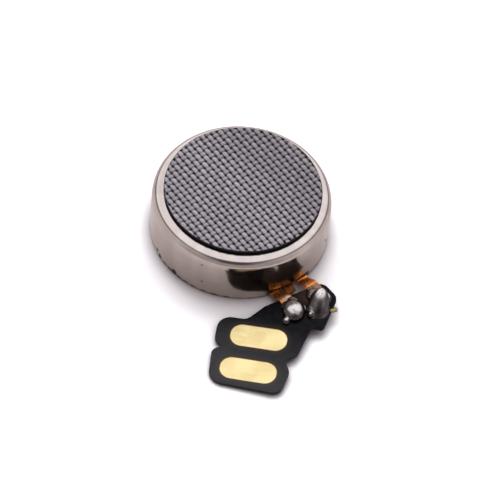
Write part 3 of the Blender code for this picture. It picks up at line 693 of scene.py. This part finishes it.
def can_mesh():
    """The drawn can as one closed skin, its lead slot left open in the grid of faces."""
    slot_turn = math.degrees(math.asin(SLOT_HALF / CAN_R))
    count_slot, count_rest = 34, 326
    angles = [SLOT_AZIMUTH - slot_turn + 2 * slot_turn * i / count_slot for i in range(count_slot)]
    angles += [
        SLOT_AZIMUTH + slot_turn + (360 - 2 * slot_turn) * i / count_rest for i in range(count_rest)
    ]
    inner = CAN_R - CAN_WALL
    outside = [(r, CAN_H) for r in (0.8, 1.8, 2.8, 3.6, 4.2, 4.45)]
    outside += arc(SHOULDER, 90, 0, 16, (CAN_R - SHOULDER, CAN_H - SHOULDER))
    outside += [(CAN_R, z) for z in (2.35, 2.0, 1.6, 1.2, 0.9, 0.7, 0.58)] + [(CAN_R, SLOT_TOP)]
    slot_row = len(outside) - 1
    outside += [(CAN_R, z) for z in (0.42, 0.34, 0.27, 0.20, 0.14, 0.09)]
    outside += arc(0.06, 0, -90, 4, (CAN_R - 0.06, 0.06))
    inside = [(inner + 0.03, 0.0), (inner, 0.03), (inner, 0.14), (inner, 0.30), (inner, SLOT_TOP), (inner, 1.2), (inner, 2.0)]
    inner_slot_row = len(outside) + 4
    inside += arc(SHOULDER - CAN_WALL, 0, 90, 6, (CAN_R - SHOULDER, CAN_H - SHOULDER))
    inside += [(r, CAN_H - CAN_WALL) for r in (3.6, 2.4, 1.2)]
    profile = outside + inside
    rows, cols = len(profile), len(angles)
    dents = [(a, z, r * 0.9, 0.020) for a, z, r, _ in WALL_MARKS]
    points = []
    for r, z in profile:
        for angle in angles:
            a = math.radians(angle)
            out = r
            if r > CAN_R - 0.03 and z < CAN_H - SHOULDER + 0.01:
                # the drawn wall is never perfectly round
                out += 0.006 * math.sin(3 * a + 0.7) + 0.004 * math.sin(7 * a + 2.1) * (1 - z / CAN_H)
                for where, height, size, depth in dents:
                    side = math.radians((angle - where + 180) % 360 - 180) * CAN_R
                    far = side * side + (z - height) ** 2
                    if far < 9 * size * size:
                        out -= depth * math.exp(-far / (size * size))
            points.append((out * math.cos(a), out * math.sin(a), z))
    top, under = len(points), len(points) + 1
    points += [(0, 0, CAN_H), (0, 0, CAN_H - CAN_WALL)]

    def at(row, col):
        return row * cols + col % cols

    def open_here(row, col):
        return slot_row <= row < inner_slot_row and col < count_slot

    faces = []
    for col in range(cols):
        faces.append((top, at(0, col), at(0, col + 1)))
        faces.append((under, at(rows - 1, col + 1), at(rows - 1, col)))
        for row in range(rows - 1):
            if not open_here(row, col):
                faces.append((at(row, col), at(row + 1, col), at(row + 1, col + 1), at(row, col + 1)))
    # the slot's own faces, between the outer and the inner skin
    for col in range(count_slot):
        faces.append((at(slot_row, col), at(inner_slot_row, col), at(inner_slot_row, col + 1), at(slot_row, col + 1)))
    side_rows = list(range(slot_row, inner_slot_row + 1))
    faces.append(tuple(at(row, 0) for row in side_rows))
    faces.append(tuple(at(row, count_slot) for row in reversed(side_rows)))
    mesh = mesh_of("can_shell", points, faces)
    work = bmesh.new()
    work.from_mesh(mesh)
    bmesh.ops.recalc_face_normals(work, faces=work.faces)
    work.to_mesh(mesh)
    work.free()
    return mesh


can = piece("can_shell", can_mesh(), CAN, sharp=40)
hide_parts("case_can")
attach(can, "motor_body")


# ------------------------------------------------------------------ the woven pad
PITCH = 0.349
FABRIC_MID, WAVE, HALF_THICK = 3.229, 0.030, 0.030


def yarns(name, along, width, phase, other, finish, seed, sign):
    """One set of parallel yarns of a plain weave, cut to the pad's round outline."""
    rng = random.Random(seed)
    a = math.radians(along)
    way, side = Vector((math.cos(a), math.sin(a))), Vector((-math.sin(a), math.cos(a)))
    sides, per = 12, 9
    points, faces = [], []
    reach = int(PAD_RADIUS / PITCH) + 2
    for i in range(-reach, reach + 1):
        offset = (i + phase) * PITCH + rng.uniform(-0.010, 0.010)
        if abs(offset) > PAD_RADIUS - 0.06:
            continue
        half = math.sqrt(PAD_RADIUS**2 - offset**2)
        start, end = -half + rng.uniform(0.0, 0.03), half - rng.uniform(0.0, 0.03)
        rings = max(4, int((end - start) / PITCH * per))
        broad = width * rng.uniform(0.95, 1.04)
        drift = rng.uniform(0, 6.28)
        base = len(points)
        for k in range(rings + 1):
            middle_s = start + (end - start) * k / rings
            sway = 0.006 * math.sin(middle_s * 1.9 + drift)
            for j in range(sides):
                t = 2 * math.pi * j / sides
                c, d = math.cos(t), math.sin(t)
                # each filament ends on the pad's round cut
                out = offset + sway + broad / 2 * 0.97 * c
                reach_here = math.sqrt(max(0.01, PAD_RADIUS**2 - out * out))
                s = -reach_here + (middle_s - start) / (end - start) * 2 * reach_here
                lift = math.cos(math.pi * (s / PITCH - other)) * (1 if i % 2 else -1) * sign
                # the yarn is squeezed narrower where it dives under its neighbour
                across = broad / 2 * (0.95 + 0.05 * lift) * math.copysign(abs(c) ** 0.95, c)
                near = reach_here - abs(s)
                droop = 0.012 * max(0.0, 1 - near / 0.07) ** 2
                flat = way * s + side * (offset + across + sway)
                points.append(
                    (
                        PAD_CENTRE[0] + flat.x,
                        PAD_CENTRE[1] + flat.y * PAD_SHRINK,
                        FABRIC_MID + WAVE * lift - droop + HALF_THICK * d,
                    )
                )
        for k in range(rings):
            for j in range(sides):
                n = (j + 1) % sides
                faces.append(
                    (base + k * sides + j, base + (k + 1) * sides + j, base + (k + 1) * sides + n, base + k * sides + n)
                )
        faces.append(tuple(base + j for j in range(sides)))
        faces.append(tuple(base + rings * sides + j for j in reversed(range(sides))))
    mesh = mesh_of(name, points, faces)
    work = bmesh.new()
    work.from_mesh(mesh)
    bmesh.ops.recalc_face_normals(work, faces=work.faces)
    work.to_mesh(mesh)
    work.free()
    made = piece(name, mesh, finish, sharp=60)
    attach(made, "motor_body")
    return made


def backing_mesh():
    # a low black rim holds the yarn ends at the cut edge; its black is partly the pad's dark side and partly painted
    # shade along the edge
    edge = PAD_RADIUS
    profile = [(0, 3.180), (2.0, 3.180), (edge - 0.070, 3.180), (edge - 0.062, 3.222), (edge - 0.042, 3.248)]
    profile += [(edge - 0.016, 3.258), (edge + 0.004, 3.246), (edge + 0.014, 3.220), (edge + 0.014, 3.160)]
    profile += [(edge + 0.004, 3.13), (0, 3.13)]
    cols = 200
    points, faces = [], []
    ring_rows = profile[1:-1]
    for r, z in ring_rows:
        for c in range(cols):
            a = 2 * math.pi * c / cols
            rr = r + (0.004 * math.sin(11 * a) + 0.003 * math.sin(29 * a + 1.0) if r > 4 else 0)
            points.append((PAD_CENTRE[0] + rr * math.cos(a), PAD_CENTRE[1] + rr * math.sin(a) * PAD_SHRINK, z))
    top, under = len(points), len(points) + 1
    points += [(*PAD_CENTRE, profile[0][1]), (*PAD_CENTRE, 3.13)]
    rows = len(ring_rows)
    for c in range(cols):
        n = (c + 1) % cols
        faces.append((top, c, n))
        for r in range(rows - 1):
            faces.append((r * cols + c, (r + 1) * cols + c, (r + 1) * cols + n, r * cols + n))
        faces.append((under, (rows - 1) * cols + n, (rows - 1) * cols + c))
    mesh = mesh_of("pad_backing", points, faces)
    work = bmesh.new()
    work.from_mesh(mesh)
    bmesh.ops.recalc_face_normals(work, faces=work.faces)
    work.to_mesh(mesh)
    work.free()
    return mesh


def disc_mesh(name, radius, low, high, edge, cols=180):
    profile = [(radius * 0.5, high), (radius - edge, high), (radius, (low + high) / 2), (radius - edge, low)]
    points, faces = [], []
    for r, z in profile:
        for c in range(cols):
            a = 2 * math.pi * c / cols
            rr = r + (0.006 * math.sin(9 * a) + 0.004 * math.sin(23 * a + 2.0) if r > 4 else 0)
            points.append((PAD_CENTRE[0] + rr * math.cos(a), PAD_CENTRE[1] + rr * math.sin(a) * PAD_SHRINK, z))
    top, under = len(points), len(points) + 1
    points += [(*PAD_CENTRE, high), (*PAD_CENTRE, low)]
    for c in range(cols):
        n = (c + 1) % cols
        faces.append((top, c, n))
        for r in range(len(profile) - 1):
            faces.append((r * cols + c, (r + 1) * cols + c, (r + 1) * cols + n, r * cols + n))
        faces.append((under, (len(profile) - 1) * cols + n, (len(profile) - 1) * cols + c))
    mesh = mesh_of(name, points, faces)
    work = bmesh.new()
    work.from_mesh(mesh)
    bmesh.ops.recalc_face_normals(work, faces=work.faces)
    work.to_mesh(mesh)
    work.free()
    return mesh


glue = piece("pad_glue_film", disc_mesh("pad_glue_film", PAD_RADIUS - 0.07, 3.06, 3.125, 0.015), ADHESIVE, sharp=50)
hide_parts("pad_adhesive")
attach(glue, "motor_body")
backing = piece("pad_backing", backing_mesh(), BACKING, sharp=50)
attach(backing, "motor_body")
warp = yarns("pad_yarns_long", 130.5, 0.240, 0.20, 0.35, WARP, 11, 1)
weft = yarns("pad_yarns_cross", 40.5, 0.262, 0.35, -0.20, WEFT, 23, -1)
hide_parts("top_fabric_pad")


# ------------------------------------------------------------------ the contact tail
TAIL_OUTLINE = [
    (-2.40, 1.10, 0.92),
    (-0.85, 1.10, 0.60),
    (-0.02, 2.14, 0.50),
    (2.86, 4.12, 0.40),
    (3.70, 3.36, 0.50),
    (3.30, 1.20, 0.22),
    (2.74, 1.18, 0.30),
    (2.30, -0.80, 0.45),
    (1.68, -1.26, 0.28),
    (2.06, -1.96, 0.40),
    (1.80, -3.52, 0.60),
    (-2.28, -3.36, 0.85),
    (-2.42, -1.16, 0.85),
    (-1.80, -0.94, 0.16),
    (-2.40, -0.62, 0.70),
]
CONTACTS = {"contact_pad_a": (0.0, 0.0), "contact_pad_b": (-0.20, -2.26)}
CONTACT_SIZE, CONTACT_CORNER = (3.20, 1.46), 0.68
LAND_SIZE = (1.00, 1.15)
LAND_OUT = {"solder_land_a": (-0.90, 6.62), "solder_land_b": (0.70, 6.84)}


def in_drawing(x, out):
    dx, dy = x - DRAWING_AT[0], -(out - 5.50) - DRAWING_AT[1]
    a = math.radians(-DRAWING_TURN)
    return dx * math.cos(a) - dy * math.sin(a), dx * math.sin(a) + dy * math.cos(a)


def turned_box(centre, size, corner, grow=0.0):
    a = math.radians(-DRAWING_TURN)
    return [
        (centre[0] + x * math.cos(a) - y * math.sin(a), centre[1] + x * math.sin(a) + y * math.cos(a))
        for x, y in rounded_box(*size, corner, (0, 0), grow, 6)
    ]


def ripple(x, y):
    """How far the flexible board lies out of flat, in millimetres."""
    return 0.010 * math.sin(1.15 * x + 0.6) * math.cos(0.9 * y - 0.4) + 0.004 * math.sin(2.7 * x - 1.9 * y)


def film_shape(x, y):
    """The film also sinks a little round each window's edge."""
    sink = 0.0
    for cx, cy in CONTACTS.values():
        dx = max(0.0, abs(x - cx) - (CONTACT_SIZE[0] / 2 - CONTACT_CORNER))
        dy = max(0.0, abs(y - cy) - (CONTACT_SIZE[1] / 2 - CONTACT_CORNER))
        far = math.hypot(dx, dy) - CONTACT_CORNER
        sink += 0.010 * math.exp(-(max(0.0, far) / 0.14) ** 2)
    return ripple(x, y) - sink


outline = [list(corner) for corner in TAIL_OUTLINE]
outline[3] = [2.84, 4.34, 0.52]
outline[4] = [3.84, 3.46, 0.58]
outline[5] = [3.42, 1.16, 0.26]
outline = filleted(outline, 16)
SPAN = ((-2.6, 3.9), (-3.8, 4.4))
windows = [rounded_box(*CONTACT_SIZE, CONTACT_CORNER, centre, 0.012) for centre in CONTACTS.values()]
land_centres = {name: in_drawing(*at) for name, at in LAND_OUT.items()}
windows += [turned_box(centre, LAND_SIZE, 0.15, 0.02) for centre in land_centres.values()]

board = piece(
    "tail_board",
    gridded(plate_mesh("tail_board", [outline], -0.168, -0.042, 0.022), 0.26, SPAN, ripple),
    BOARD,
    DRAWING,
)
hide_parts("terminal_fpc_base")
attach(board, "contact_tail")
cover = piece(
    "tail_cover_film",
    gridded(plate_mesh("tail_cover_film", [outline, *windows], -0.040, 0.004, 0.014), 0.17, SPAN, film_shape),
    COVER,
    DRAWING,
)
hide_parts("terminal_fpc_coverlay")
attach(cover, "contact_tail")

for name, centre in CONTACTS.items():
    contact = piece(
        name.replace("contact_pad", "gold_contact"),
        gridded(
            plate_mesh(name + "_skin", [rounded_box(*CONTACT_SIZE, CONTACT_CORNER, centre, 0.008)], -0.036, -0.011, 0.008),
            0.20,
            SPAN,
            ripple,
        ),
        GOLD,
        DRAWING,
    )
    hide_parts(name)
    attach(contact, "contact_tail")
    # painted shade: the thin brown ring on each window's edge
    window_shade_ring = piece(
        name.replace("contact_pad", "window_edge_shade"),
        gridded(
            plate_mesh(
                name + "_bleed",
                [
                    rounded_box(*CONTACT_SIZE, CONTACT_CORNER, centre, 0.014),
                    rounded_box(*CONTACT_SIZE, CONTACT_CORNER, centre, -0.026),
                ],
                -0.013,
                -0.004,
                0.003,
            ),
            0.40,
            SPAN,
            ripple,
        ),
        WINDOW_SHADE_FINISH,
        DRAWING,
    )
    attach(window_shade_ring, "contact_tail")


# ------------------------------------------------------------------ the leads
LEG_WIDTH, LEG_THICK, LEG_SPACING = 0.75, 0.07, 1.73


def smooth_path(points, per=4):
    p = [Vector(q) for q in points]
    p = [2 * p[0] - p[1], *p, 2 * p[-1] - p[-2]]
    found = []
    for i in range(1, len(p) - 2):
        for k in range(per):
            t = k / per
            a, b, c, d = p[i - 1], p[i], p[i + 1], p[i + 2]
            found.append(0.5 * (2 * b + (c - a) * t + (2 * a - 5 * b + 4 * c - d) * t**2 + (3 * b - a - 3 * c + d) * t**3))
    return found + [p[-2]]


def strip_mesh(name, path, width, thick, lift=0.0, seed=0):
    """A thin strip along a side path of (outward, height), with rounded long edges and a faint cupping."""
    rng = random.Random(seed)
    across = 14
    points, faces = [], []
    sections = []
    for i, here in enumerate(path):
        before = path[max(0, i - 1)]
        after = path[min(len(path) - 1, i + 1)]
        along = (after - before).normalized()
        normal = Vector((-along.y, along.x))
        wobble = rng.uniform(-0.006, 0.006)
        section = []
        for j in range(across + 1):
            x = -1 + 2 * j / across
            edge = math.sqrt(max(0.0, 1 - abs(x) ** 8))
            cup = -0.018 * x * x
            section.append((x * width / 2 + wobble, lift + cup + edge * thick / 2))
        for j in range(across - 1, 0, -1):
            x = -1 + 2 * j / across
            edge = math.sqrt(max(0.0, 1 - abs(x) ** 8))
            cup = -0.018 * x * x
            section.append((x * width / 2 + wobble, lift + cup - edge * thick / 2))
        ring = []
        for x, up in section:
            ring.append(len(points))
            points.append((x, -(here.x + normal.x * up), here.y + normal.y * up))
        sections.append(ring)
    size = len(sections[0])
    for a, b in zip(sections, sections[1:]):
        for j in range(size):
            n = (j + 1) % size
            faces.append((a[j], b[j], b[n], a[n]))
    faces.append(tuple(sections[0]))
    faces.append(tuple(reversed(sections[-1])))
    mesh = mesh_of(name, points, faces)
    work = bmesh.new()
    work.from_mesh(mesh)
    bmesh.ops.recalc_face_normals(work, faces=work.faces)
    work.to_mesh(mesh)
    work.free()
    return mesh


HINGE = SLOT @ Vector((0, -5.50, 0.42))
OUTWARD = SLOT @ Vector((0, -1, 0))
for letter, side in (("a", -1), ("b", 1)):
    centre = side * LEG_SPACING / 2
    landing = 0.592 + math.tan(math.radians(3.2)) * centre + LEG_THICK / 2 + 0.045
    route = [(4.88, 0.27), (5.16, 0.29), (5.66, landing - 0.01), (5.98, landing + 0.01), (6.85, landing)]
    path = smooth_path(route, 10)[:-5]
    place = SLOT @ Matrix.Translation((centre, 0, 0))
    film = piece(f"lead_film_{letter}", strip_mesh(f"lead_film_{letter}", path, LEG_WIDTH, 0.060, 0.0, 3 + side), LEAD, place)
    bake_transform(film)
    trace_path = path[4:]
    trace = piece(
        f"lead_trace_{letter}",
        strip_mesh(f"lead_trace_{letter}", trace_path, LEG_WIDTH * 0.56, 0.030, 0.030, 7 + side),
        TRACE,
        place,
    )
    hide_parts(f"lead_leg_{letter}")
    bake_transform(trace)
    # the tinned end of lead b takes the painted-shade copy of the tinning
    tinned = piece(
        f"lead_tinning_{letter}",
        strip_mesh(f"lead_tinning_{letter}", path[29 if letter == "b" else 20 :], LEG_WIDTH * (0.86 if letter == "b" else 0.70), 0.036, 0.046, 17 + side),
        TINNED if letter == "a" else SHADED_TINNED,
        place,
    )
    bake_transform(tinned)


# ------------------------------------------------------------------ the solder
def lump_mesh(name, blobs, voxel=0.028, rounds=10, floor=0.012, seed=1):
    """Overlapping ellipsoids run together into one lump that wets the board."""
    rng = random.Random(seed)
    work = bmesh.new()
    for (x, y, z), (rx, ry, rz), turn, tilt in blobs:
        made = bmesh.ops.create_icosphere(work, subdivisions=4, radius=1.0)["verts"]
        bmesh.ops.scale(work, vec=(rx, ry, rz), verts=made)
        lean = Matrix.Rotation(math.radians(turn), 3, "Z") @ Matrix.Rotation(math.radians(tilt), 3, "X")
        bmesh.ops.rotate(work, verts=made, cent=(0, 0, 0), matrix=lean)
        bmesh.ops.translate(work, verts=made, vec=(x, y, z))
    mesh = bpy.data.meshes.new(name)
    work.to_mesh(mesh)
    work.free()
    holder = bpy.data.objects.new(name + "_raw", mesh)
    scene.collection.objects.link(holder)
    remesh = holder.modifiers.new("join", "REMESH")
    remesh.mode = "VOXEL"
    remesh.voxel_size = voxel
    soft = holder.modifiers.new("soft", "SMOOTH")
    soft.factor = 0.5
    soft.iterations = rounds
    bpy.context.view_layer.update()
    graph = bpy.context.evaluated_depsgraph_get()
    made = bpy.data.meshes.new_from_object(holder.evaluated_get(graph))
    bpy.data.objects.remove(holder, do_unlink=True)
    bpy.data.meshes.remove(mesh)
    made.name = name
    work = bmesh.new()
    work.from_mesh(made)
    # the underside is cut off level with the board
    cut = bmesh.ops.bisect_plane(
        work,
        geom=work.verts[:] + work.edges[:] + work.faces[:],
        dist=1e-5,
        plane_co=(0, 0, floor),
        plane_no=(0, 0, 1),
        clear_inner=True,
    )
    rim = [e for e in cut["geom_cut"] if isinstance(e, bmesh.types.BMEdge)]
    bmesh.ops.holes_fill(work, edges=rim, sides=0)
    bmesh.ops.recalc_face_normals(work, faces=work.faces)
    work.to_mesh(made)
    work.free()
    return made


# each blob is centre, half sizes and turn, in the tail's drawing
LUMPS = {
    "solder_joint_a": [
        ((1.60, 2.06, 0.14), (0.60, 0.72, 0.34), 28, 0),
        ((1.66, 2.04, 0.28), (0.38, 0.60, 0.20), 28, 0),
        ((2.02, 2.30, 0.02), (0.32, 0.32, 0.16), 0, 0),
        ((1.28, 2.30, 0.04), (0.44, 0.40, 0.27), 20, 6),
        ((1.30, 1.34, 0.05), (0.22, 0.26, 0.22), 20, 0),
        ((1.50, 2.62, 0.10), (0.42, 0.32, 0.20), -44, 0),
    ],
    "solder_joint_b": [
        ((2.92, 2.62, 0.10), (0.58, 1.06, 0.38), 0, 28),
        ((3.02, 2.40, -0.06), (0.56, 0.92, 0.30), 0, 18),
        ((2.86, 3.02, 0.34), (0.44, 0.50, 0.26), 0, 4),
        ((2.54, 3.36, 0.04), (0.46, 0.44, 0.25), -20, 0),
        ((3.10, 3.20, 0.02), (0.46, 0.50, 0.24), 0, 0),
        ((2.66, 2.30, -0.02), (0.38, 0.66, 0.30), 8, 20),
        ((2.56, 1.96, 0.10), (0.17, 0.19, 0.19), 0, 0),
    ],
}
for number, (name, blobs) in enumerate(LUMPS.items()):
    lump = piece(name.replace("solder_joint", "solder_lump"), lump_mesh(name + "_lump", blobs, rounds=20, seed=number), SOLDER, DRAWING, sharp=70)
    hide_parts(name)
    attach(lump, "contact_tail")

bead = piece(
    "flux_bead",
    lump_mesh("flux_bead", [((3.86, 2.62, 0.02), (0.13, 0.17, 0.10), 20, 0), ((3.78, 2.52, 0.02), (0.10, 0.12, 0.08), 0, 0), ((3.68, 2.52, 0.01), (0.12, 0.13, 0.07), 0, 0)], 0.018, 5, -0.05),
    FLUX,
    DRAWING,
    sharp=70,
)
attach(bead, "contact_tail")


# ------------------------------------------------------------------ camera
ELEVATION, ROLL = math.radians(52.8), math.radians(6.0)
DISTANCE = 0.5
right = Vector((1, 0, 0))
up = Vector((0, math.sin(ELEVATION), math.cos(ELEVATION)))
back = Vector((0, -math.cos(ELEVATION), math.sin(ELEVATION)))
across = math.cos(ROLL) * right + math.sin(ROLL) * up
above = math.cos(ROLL) * up - math.sin(ROLL) * right
aim = 0.625e-3 * across - 1.272e-3 * above
lens = bpy.data.cameras.new("camera")
lens.sensor_width = 36.0
lens.lens = 36.0 * DISTANCE / 27.886e-3
lens.clip_start, lens.clip_end = 0.001, 10.0
camera = bpy.data.objects.new("camera", lens)
scene.collection.objects.link(camera)
matrix = Matrix((across, above, back)).transposed().to_4x4()
matrix.translation = aim + back * DISTANCE
camera.matrix_world = matrix
scene.camera = camera


# ------------------------------------------------------------------ floor
def floor_finish():
    made = bpy.data.materials.new("white_sweep")
    made.use_nodes = True
    tree = made.node_tree
    tree.nodes.remove(tree.nodes["Principled BSDF"])
    out = tree.nodes["Material Output"]
    seen = tree.nodes.new("ShaderNodeLightPath")
    pale = tree.nodes.new("ShaderNodeBsdfDiffuse")
    pale.inputs["Color"].default_value = (1.32, 1.32, 1.32, 1)
    grey = tree.nodes.new("ShaderNodeBsdfDiffuse")
    grey.inputs["Color"].default_value = (0.60, 0.575, 0.59, 1)
    both = tree.nodes.new("ShaderNodeMixShader")
    tree.links.new(seen.outputs["Is Camera Ray"], both.inputs[0])
    tree.links.new(grey.outputs[0], both.inputs[1])
    tree.links.new(pale.outputs[0], both.inputs[2])
    tree.links.new(both.outputs[0], out.inputs["Surface"])
    # painted contact shadow: ambient occlusion darkens the floor's colour close to what stands on it for camera rays,
    # and paints it lighter there for the other rays
    close = tree.nodes.new("ShaderNodeAmbientOcclusion")
    close.samples = 16
    close.inputs["Distance"].default_value = 0.0008
    for shade, full, deep in ((pale, (1.44, 1.44, 1.44, 1), (0.20, 0.17, 0.185, 1)), (grey, (0.76, 0.71, 0.70, 1), (1.10, 1.00, 0.97, 1))):
        ramp = tree.nodes.new("ShaderNodeMix")
        ramp.data_type = "RGBA"
        factor = [s for s in ramp.inputs if s.name == "Factor" and s.type == "VALUE"][0]
        colours = [s for s in ramp.inputs if s.type == "RGBA"]
        tree.links.new(close.outputs["AO"], factor)
        colours[0].default_value, colours[1].default_value = deep, full
        tree.links.new([s for s in ramp.outputs if s.type == "RGBA"][0], shade.inputs["Color"])
    return made


sweep = bpy.data.meshes.new("sweep")
work = bmesh.new()
bmesh.ops.create_grid(work, x_segments=2, y_segments=2, size=3.0)
work.to_mesh(sweep)
work.free()
floor = bpy.data.objects.new("sweep", sweep)
scene.collection.objects.link(floor)
floor.data.materials.append(floor_finish())


# A black card on the table before the can: the wall mirrors it as the photo's dark patch.
card_shape = [
    (-1.02, -7.30), (-0.86, -6.95), (-0.64, -6.60), (-0.30, -6.08), (0.10, -5.74), (0.80, -5.48), (1.45, -5.26), (1.95, -5.02),
    (2.60, -5.10), (2.60, -7.30),
]
card_mesh = mesh_of("black_card", [(x, y, 0.03) for x, y in card_shape], [tuple(range(len(card_shape)))])
card_mesh.transform(MM)
under_leads = mesh_of(
    "black_card_two",
    [SLOT @ Vector((x, -out, 0.03)) for x, out in ((-1.75, 5.12), (1.12, 5.12), (1.12, 6.9), (-1.75, 6.9))],
    [(0, 1, 2, 3)],
)
under_leads.transform(MM)
card = bpy.data.objects.new("black_card", card_mesh)
scene.collection.objects.link(card)
card_paint = bpy.data.materials.new("black_card")
card_paint.use_nodes = True
card_paint.node_tree.nodes["Principled BSDF"].inputs["Base Color"].default_value = (0.024, 0.018, 0.017, 1)
card_paint.node_tree.nodes["Principled BSDF"].inputs["Roughness"].default_value = 0.9
card_paint.node_tree.nodes["Principled BSDF"].inputs["Specular IOR Level"].default_value = 0.1
card_mesh.materials.append(card_paint)
card.visible_camera = False
card.visible_diffuse = False
card.visible_shadow = False
card.visible_transmission = False
under_leads.materials.append(card_paint)
card_two = bpy.data.objects.new("black_card_two", under_leads)
scene.collection.objects.link(card_two)
card_two.visible_camera = False
card_two.visible_diffuse = False
card_two.visible_shadow = False
card_two.visible_transmission = False

# A third, just over the leads, keeps their tops out of the wall's mirror image. It works from above only.
over_leads = mesh_of(
    "black_card_three",
    [SLOT @ Vector((x, -out, 0.80)) for x, out in ((-1.75, 5.10), (-1.75, 7.0), (1.22, 7.0), (1.22, 5.10))],
    [(0, 1, 2, 3)],
)
over_leads.transform(MM)
one_side = bpy.data.materials.new("black_card_one_side")
one_side.use_nodes = True
tree = one_side.node_tree
tree.nodes.remove(tree.nodes["Principled BSDF"])
dimmed = tree.nodes.new("ShaderNodeBsdfDiffuse")
dimmed.inputs["Color"].default_value = (0.044, 0.033, 0.026, 1)
clear = tree.nodes.new("ShaderNodeBsdfTransparent")
facing = tree.nodes.new("ShaderNodeNewGeometry")
which = tree.nodes.new("ShaderNodeMixShader")
tree.links.new(facing.outputs["Backfacing"], which.inputs[0])
tree.links.new(dimmed.outputs[0], which.inputs[1])
tree.links.new(clear.outputs[0], which.inputs[2])
tree.links.new(which.outputs[0], tree.nodes["Material Output"].inputs["Surface"])
over_leads.materials.append(one_side)
card_three = bpy.data.objects.new("black_card_three", over_leads)
scene.collection.objects.link(card_three)
card_three.visible_camera = False
card_three.visible_diffuse = False
card_three.visible_shadow = False
card_three.visible_transmission = False


# ------------------------------------------------------------------ light
def studio_world():
    """A soft box over and behind the object, dimmer towards the camera, with the camera's own dark spot."""
    world = bpy.data.worlds.new("studio")
    scene.world = world
    world.use_nodes = True
    tree = world.node_tree
    background = tree.nodes["Background"]
    out = tree.nodes["World Output"]

    def new(kind, **settings):
        made = tree.nodes.new(kind)
        for key, value in settings.items():
            setattr(made, key, value)
        return made

    def maths(kind, a, b=None):
        made = new("ShaderNodeMath", operation=kind)
        for socket, value in zip(made.inputs, (a, b)):
            if isinstance(value, (int, float)):
                socket.default_value = value
            elif value is not None:
                tree.links.new(value, socket)
        return made.outputs[0]

    def spread(value, low, high, to_low, to_high):
        made = new("ShaderNodeMapRange", clamp=True)
        made.interpolation_type = "SMOOTHSTEP"
        for key, number in (("From Min", low), ("From Max", high), ("To Min", to_low), ("To Max", to_high)):
            made.inputs[key].default_value = number
        tree.links.new(value, made.inputs["Value"])
        return made.outputs["Result"]

    def towards(elevation, azimuth_from_camera):
        """The cosine of the angle from this direction. Azimuth 0 is the camera's side, 180 the far side."""
        e, a = math.radians(elevation), math.radians(azimuth_from_camera)
        made = new("ShaderNodeVectorMath", operation="DOT_PRODUCT")
        tree.links.new(spot.outputs["Generated"], made.inputs[0])
        made.inputs[1].default_value = (math.sin(a) * math.cos(e), -math.cos(a) * math.cos(e), math.sin(e))
        return made.outputs["Value"]

    spot = new("ShaderNodeTexCoord")
    box = spread(towards(50, 180), math.cos(math.radians(50)), math.cos(math.radians(38)), 0.0, 1.0)
    front = spread(towards(10, 0), math.cos(math.radians(80)), math.cos(math.radians(35)), 0.0, 1.0)
    patch = spread(towards(60, 0), math.cos(math.radians(30)), math.cos(math.radians(12)), 0.0, 1.0)
    lens_spot = spread(towards(57, 0), math.cos(math.radians(17)), math.cos(math.radians(9)), 0.0, 1.0)
    level = spread(front, 0.0, 1.0, 0.72, 0.44)
    level = maths("MULTIPLY", level, spread(patch, 0.0, 1.0, 1.0, 0.50))
    level = maths("MULTIPLY", level, spread(lens_spot, 0.0, 1.0, 1.0, 0.45))
    # the black frame of the soft box
    frame_of_box = spread(towards(50, 180), math.cos(math.radians(68)), math.cos(math.radians(58)), 0.0, 1.0)
    level = maths("MULTIPLY", level, maths("SUBTRACT", 1.0, maths("MULTIPLY", maths("SUBTRACT", frame_of_box, box), 0.62)))
    level = maths("ADD", maths("MULTIPLY", level, maths("SUBTRACT", 1.0, box)), maths("MULTIPLY", box, 1.22))
    tint = new("ShaderNodeMix", data_type="RGBA")
    factor = [s for s in tint.inputs if s.name == "Factor" and s.type == "VALUE"][0]
    colours = [s for s in tint.inputs if s.type == "RGBA"]
    tree.links.new(box, factor)
    colours[0].default_value = (1.0, 0.91, 0.935, 1)
    colours[1].default_value = (0.985, 0.97, 1.03, 1)
    tree.links.new([s for s in tint.outputs if s.type == "RGBA"][0], background.inputs["Color"])
    # matt things are lit less from the front, so that the shadow falls towards the camera
    ray = new("ShaderNodeLightPath")
    dimmer = maths("SUBTRACT", 1.0, maths("MULTIPLY", maths("MULTIPLY", ray.outputs["Is Diffuse Ray"], front), 0.45))
    level = maths("MULTIPLY", level, dimmer)
    tree.links.new(level, background.inputs["Strength"])
    plain = new("ShaderNodeBackground")
    plain.inputs["Color"].default_value = (1.0, 1.0, 1.0, 1)
    plain.inputs["Strength"].default_value = 1.0
    seen = new("ShaderNodeLightPath")
    both = new("ShaderNodeMixShader")
    tree.links.new(seen.outputs["Is Camera Ray"], both.inputs[0])
    tree.links.new(background.outputs[0], both.inputs[1])
    tree.links.new(plain.outputs[0], both.inputs[2])
    tree.links.new(both.outputs[0], out.inputs["Surface"])


studio_world()

key = bpy.data.lights.new("key_box", "AREA")
key.shape = "RECTANGLE"
key.size, key.size_y = 0.30, 0.20
key.energy = 0.72
key.color = (1.0, 0.985, 1.0)
key_holder = bpy.data.objects.new("key_box", key)
scene.collection.objects.link(key_holder)
key_holder.location = (-0.05, 0.24, 0.34)
key_holder.rotation_euler = (Vector((0, 0, 0)) - Vector(key_holder.location)).to_track_quat("-Z", "Y").to_euler()
key_holder.visible_camera = False
key_holder.visible_glossy = False

scene.view_settings.view_transform = "Standard"
scene.view_settings.look = "None"
scene.view_settings.exposure = 0.0
scene.view_settings.gamma = 1.0

bpy.context.view_layer.update()
